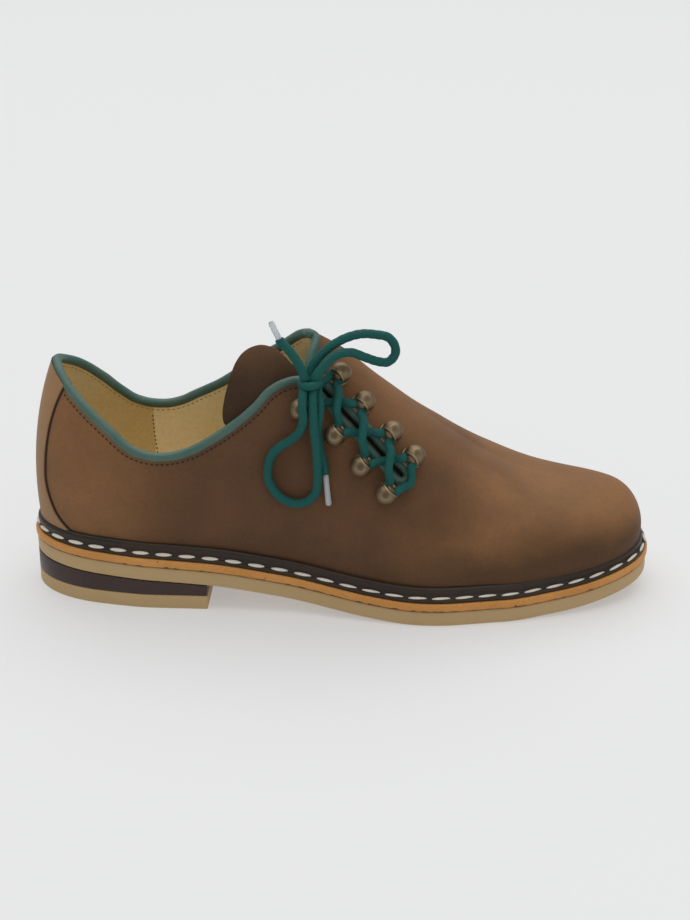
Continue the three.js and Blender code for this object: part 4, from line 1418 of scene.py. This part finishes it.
def eyeletProfile(settings):
    profile = list(settings["foot"])
    for degrees in range(-settings["ballEnd"], settings["ballEnd"] + 1, settings["ballStep"]):
        angle = math.radians(degrees)
        profile.append((ballRadius * math.cos(angle), ballLift + ballRadius * math.sin(angle)))
    top = profile[-1][1]
    return profile + [(radius, top + height) for radius, height in settings["cap"]]


def openMouth(bm, settings):
    # The ball's wall sinks to a mouth for the lace, with a fine raised rim
    mouth = unit(np.array(settings["mouthWay"]))
    for vert in bm.verts:
        if vert.co.z <= settings["mouthAbove"] * mm:
            continue
        way = np.array(vert.co) / mm - (0, 0, ballLift)
        towards = float(way @ mouth) / max(np.linalg.norm(way), 1e-6)
        beyond = math.degrees(math.acos(min(1, max(-1, towards)))) - settings["mouthOpen"]
        rim = math.exp(-((beyond - settings["rimOut"]) / settings["rimWide"]) ** 2) * settings["rimHigh"]
        sunk = settings["mouthDeep"] / (1 + math.exp(beyond / settings["mouthSoft"]))
        vert.co = (way * (1 + (rim - sunk) / ballRadius) + (0, 0, ballLift)) * mm


def eyeletMesh(eyelet, settings):
    bm = bmesh.new()
    verts = [bm.verts.new((x * mm, 0, z * mm)) for x, z in eyeletProfile(settings)]
    edges = [bm.edges.new(pair) for pair in zip(verts, verts[1:])]
    bmesh.ops.spin(bm, geom=verts + edges, cent=(0, 0, 0), axis=(0, 0, 1), angle=2 * math.pi,
                   steps=settings["around"], use_merge=True)
    bmesh.ops.remove_doubles(bm, verts=bm.verts, dist=0.005 * mm)
    openMouth(bm, settings)
    basis = Matrix(np.column_stack([eyelet["towards"], eyelet["third"], eyelet["out"]]).tolist()).to_4x4()
    matrix = Matrix.Translation(Vector(eyelet["point"] * mm)) @ basis
    bmesh.ops.transform(bm, matrix=matrix, verts=bm.verts)
    return bm


for which in ("outer", "inner"):
    for i, eyelet in enumerate(eyelets[which]):
        addPiece(f"ball_{which}_{i + 1}", eyeletMesh(eyelet, eyeletSet), bronzeLook,
                 (f"eyelet_{which}_{i + 1}",))
print("eyelets done")


# Floor, light and background, in metres

floorHalf = 8
aimPoint = (0.1, 0, 0.05)
lights = (
    {"name": "overhead", "place": (0.1, 1.2, 4.5), "size": 7.0, "watts": 225},
    {"name": "front", "place": (0.9, -1.6, 1.5), "size": 0.8, "watts": 3},
)


def floorMaterial():
    # Opal acrylic sheet, faintly lit from below, so shadows on it stay soft
    material, tree = newMaterial("opalAcrylic")
    return shaded(material, tree, {
        "Base Color": colour("#b4b4b4"),
        "Roughness": 0.6,
        "Emission Color": colour("#ffffff"),
        "Emission Strength": 0.33,
    })


def addFloor():
    bm = bmesh.new()
    bmesh.ops.create_grid(bm, x_segments=1, y_segments=1, size=floorHalf)
    mesh = bpy.data.meshes.new("floor")
    bm.to_mesh(mesh)
    bm.free()
    mesh.materials.append(floorMaterial())
    floor = bpy.data.objects.new("floor", mesh)
    bpy.context.scene.collection.objects.link(floor)


def addLight(settings):
    data = bpy.data.lights.new(settings["name"], "AREA")
    data.size = settings["size"]
    data.energy = settings["watts"]
    lamp = bpy.data.objects.new(settings["name"], data)
    lamp.location = settings["place"]
    aim = Vector(aimPoint) - lamp.location
    lamp.rotation_euler = aim.to_track_quat("-Z", "Y").to_euler()
    bpy.context.scene.collection.objects.link(lamp)


def addWorld():
    world = bpy.data.worlds.new("studio")
    bpy.context.scene.world = world
    world.use_nodes = True
    tree = world.node_tree
    tree.nodes.clear()
    glow = node(tree, "ShaderNodeBackground", {"Color": colour("#f4f6f8"), "Strength": 0.42})
    node(tree, "ShaderNodeOutputWorld", {"Surface": glow.outputs["Background"]})


addFloor()
for light in lights:
    addLight(light)
addWorld()
bpy.context.scene.view_settings.view_transform = "Standard"
print("stage set")
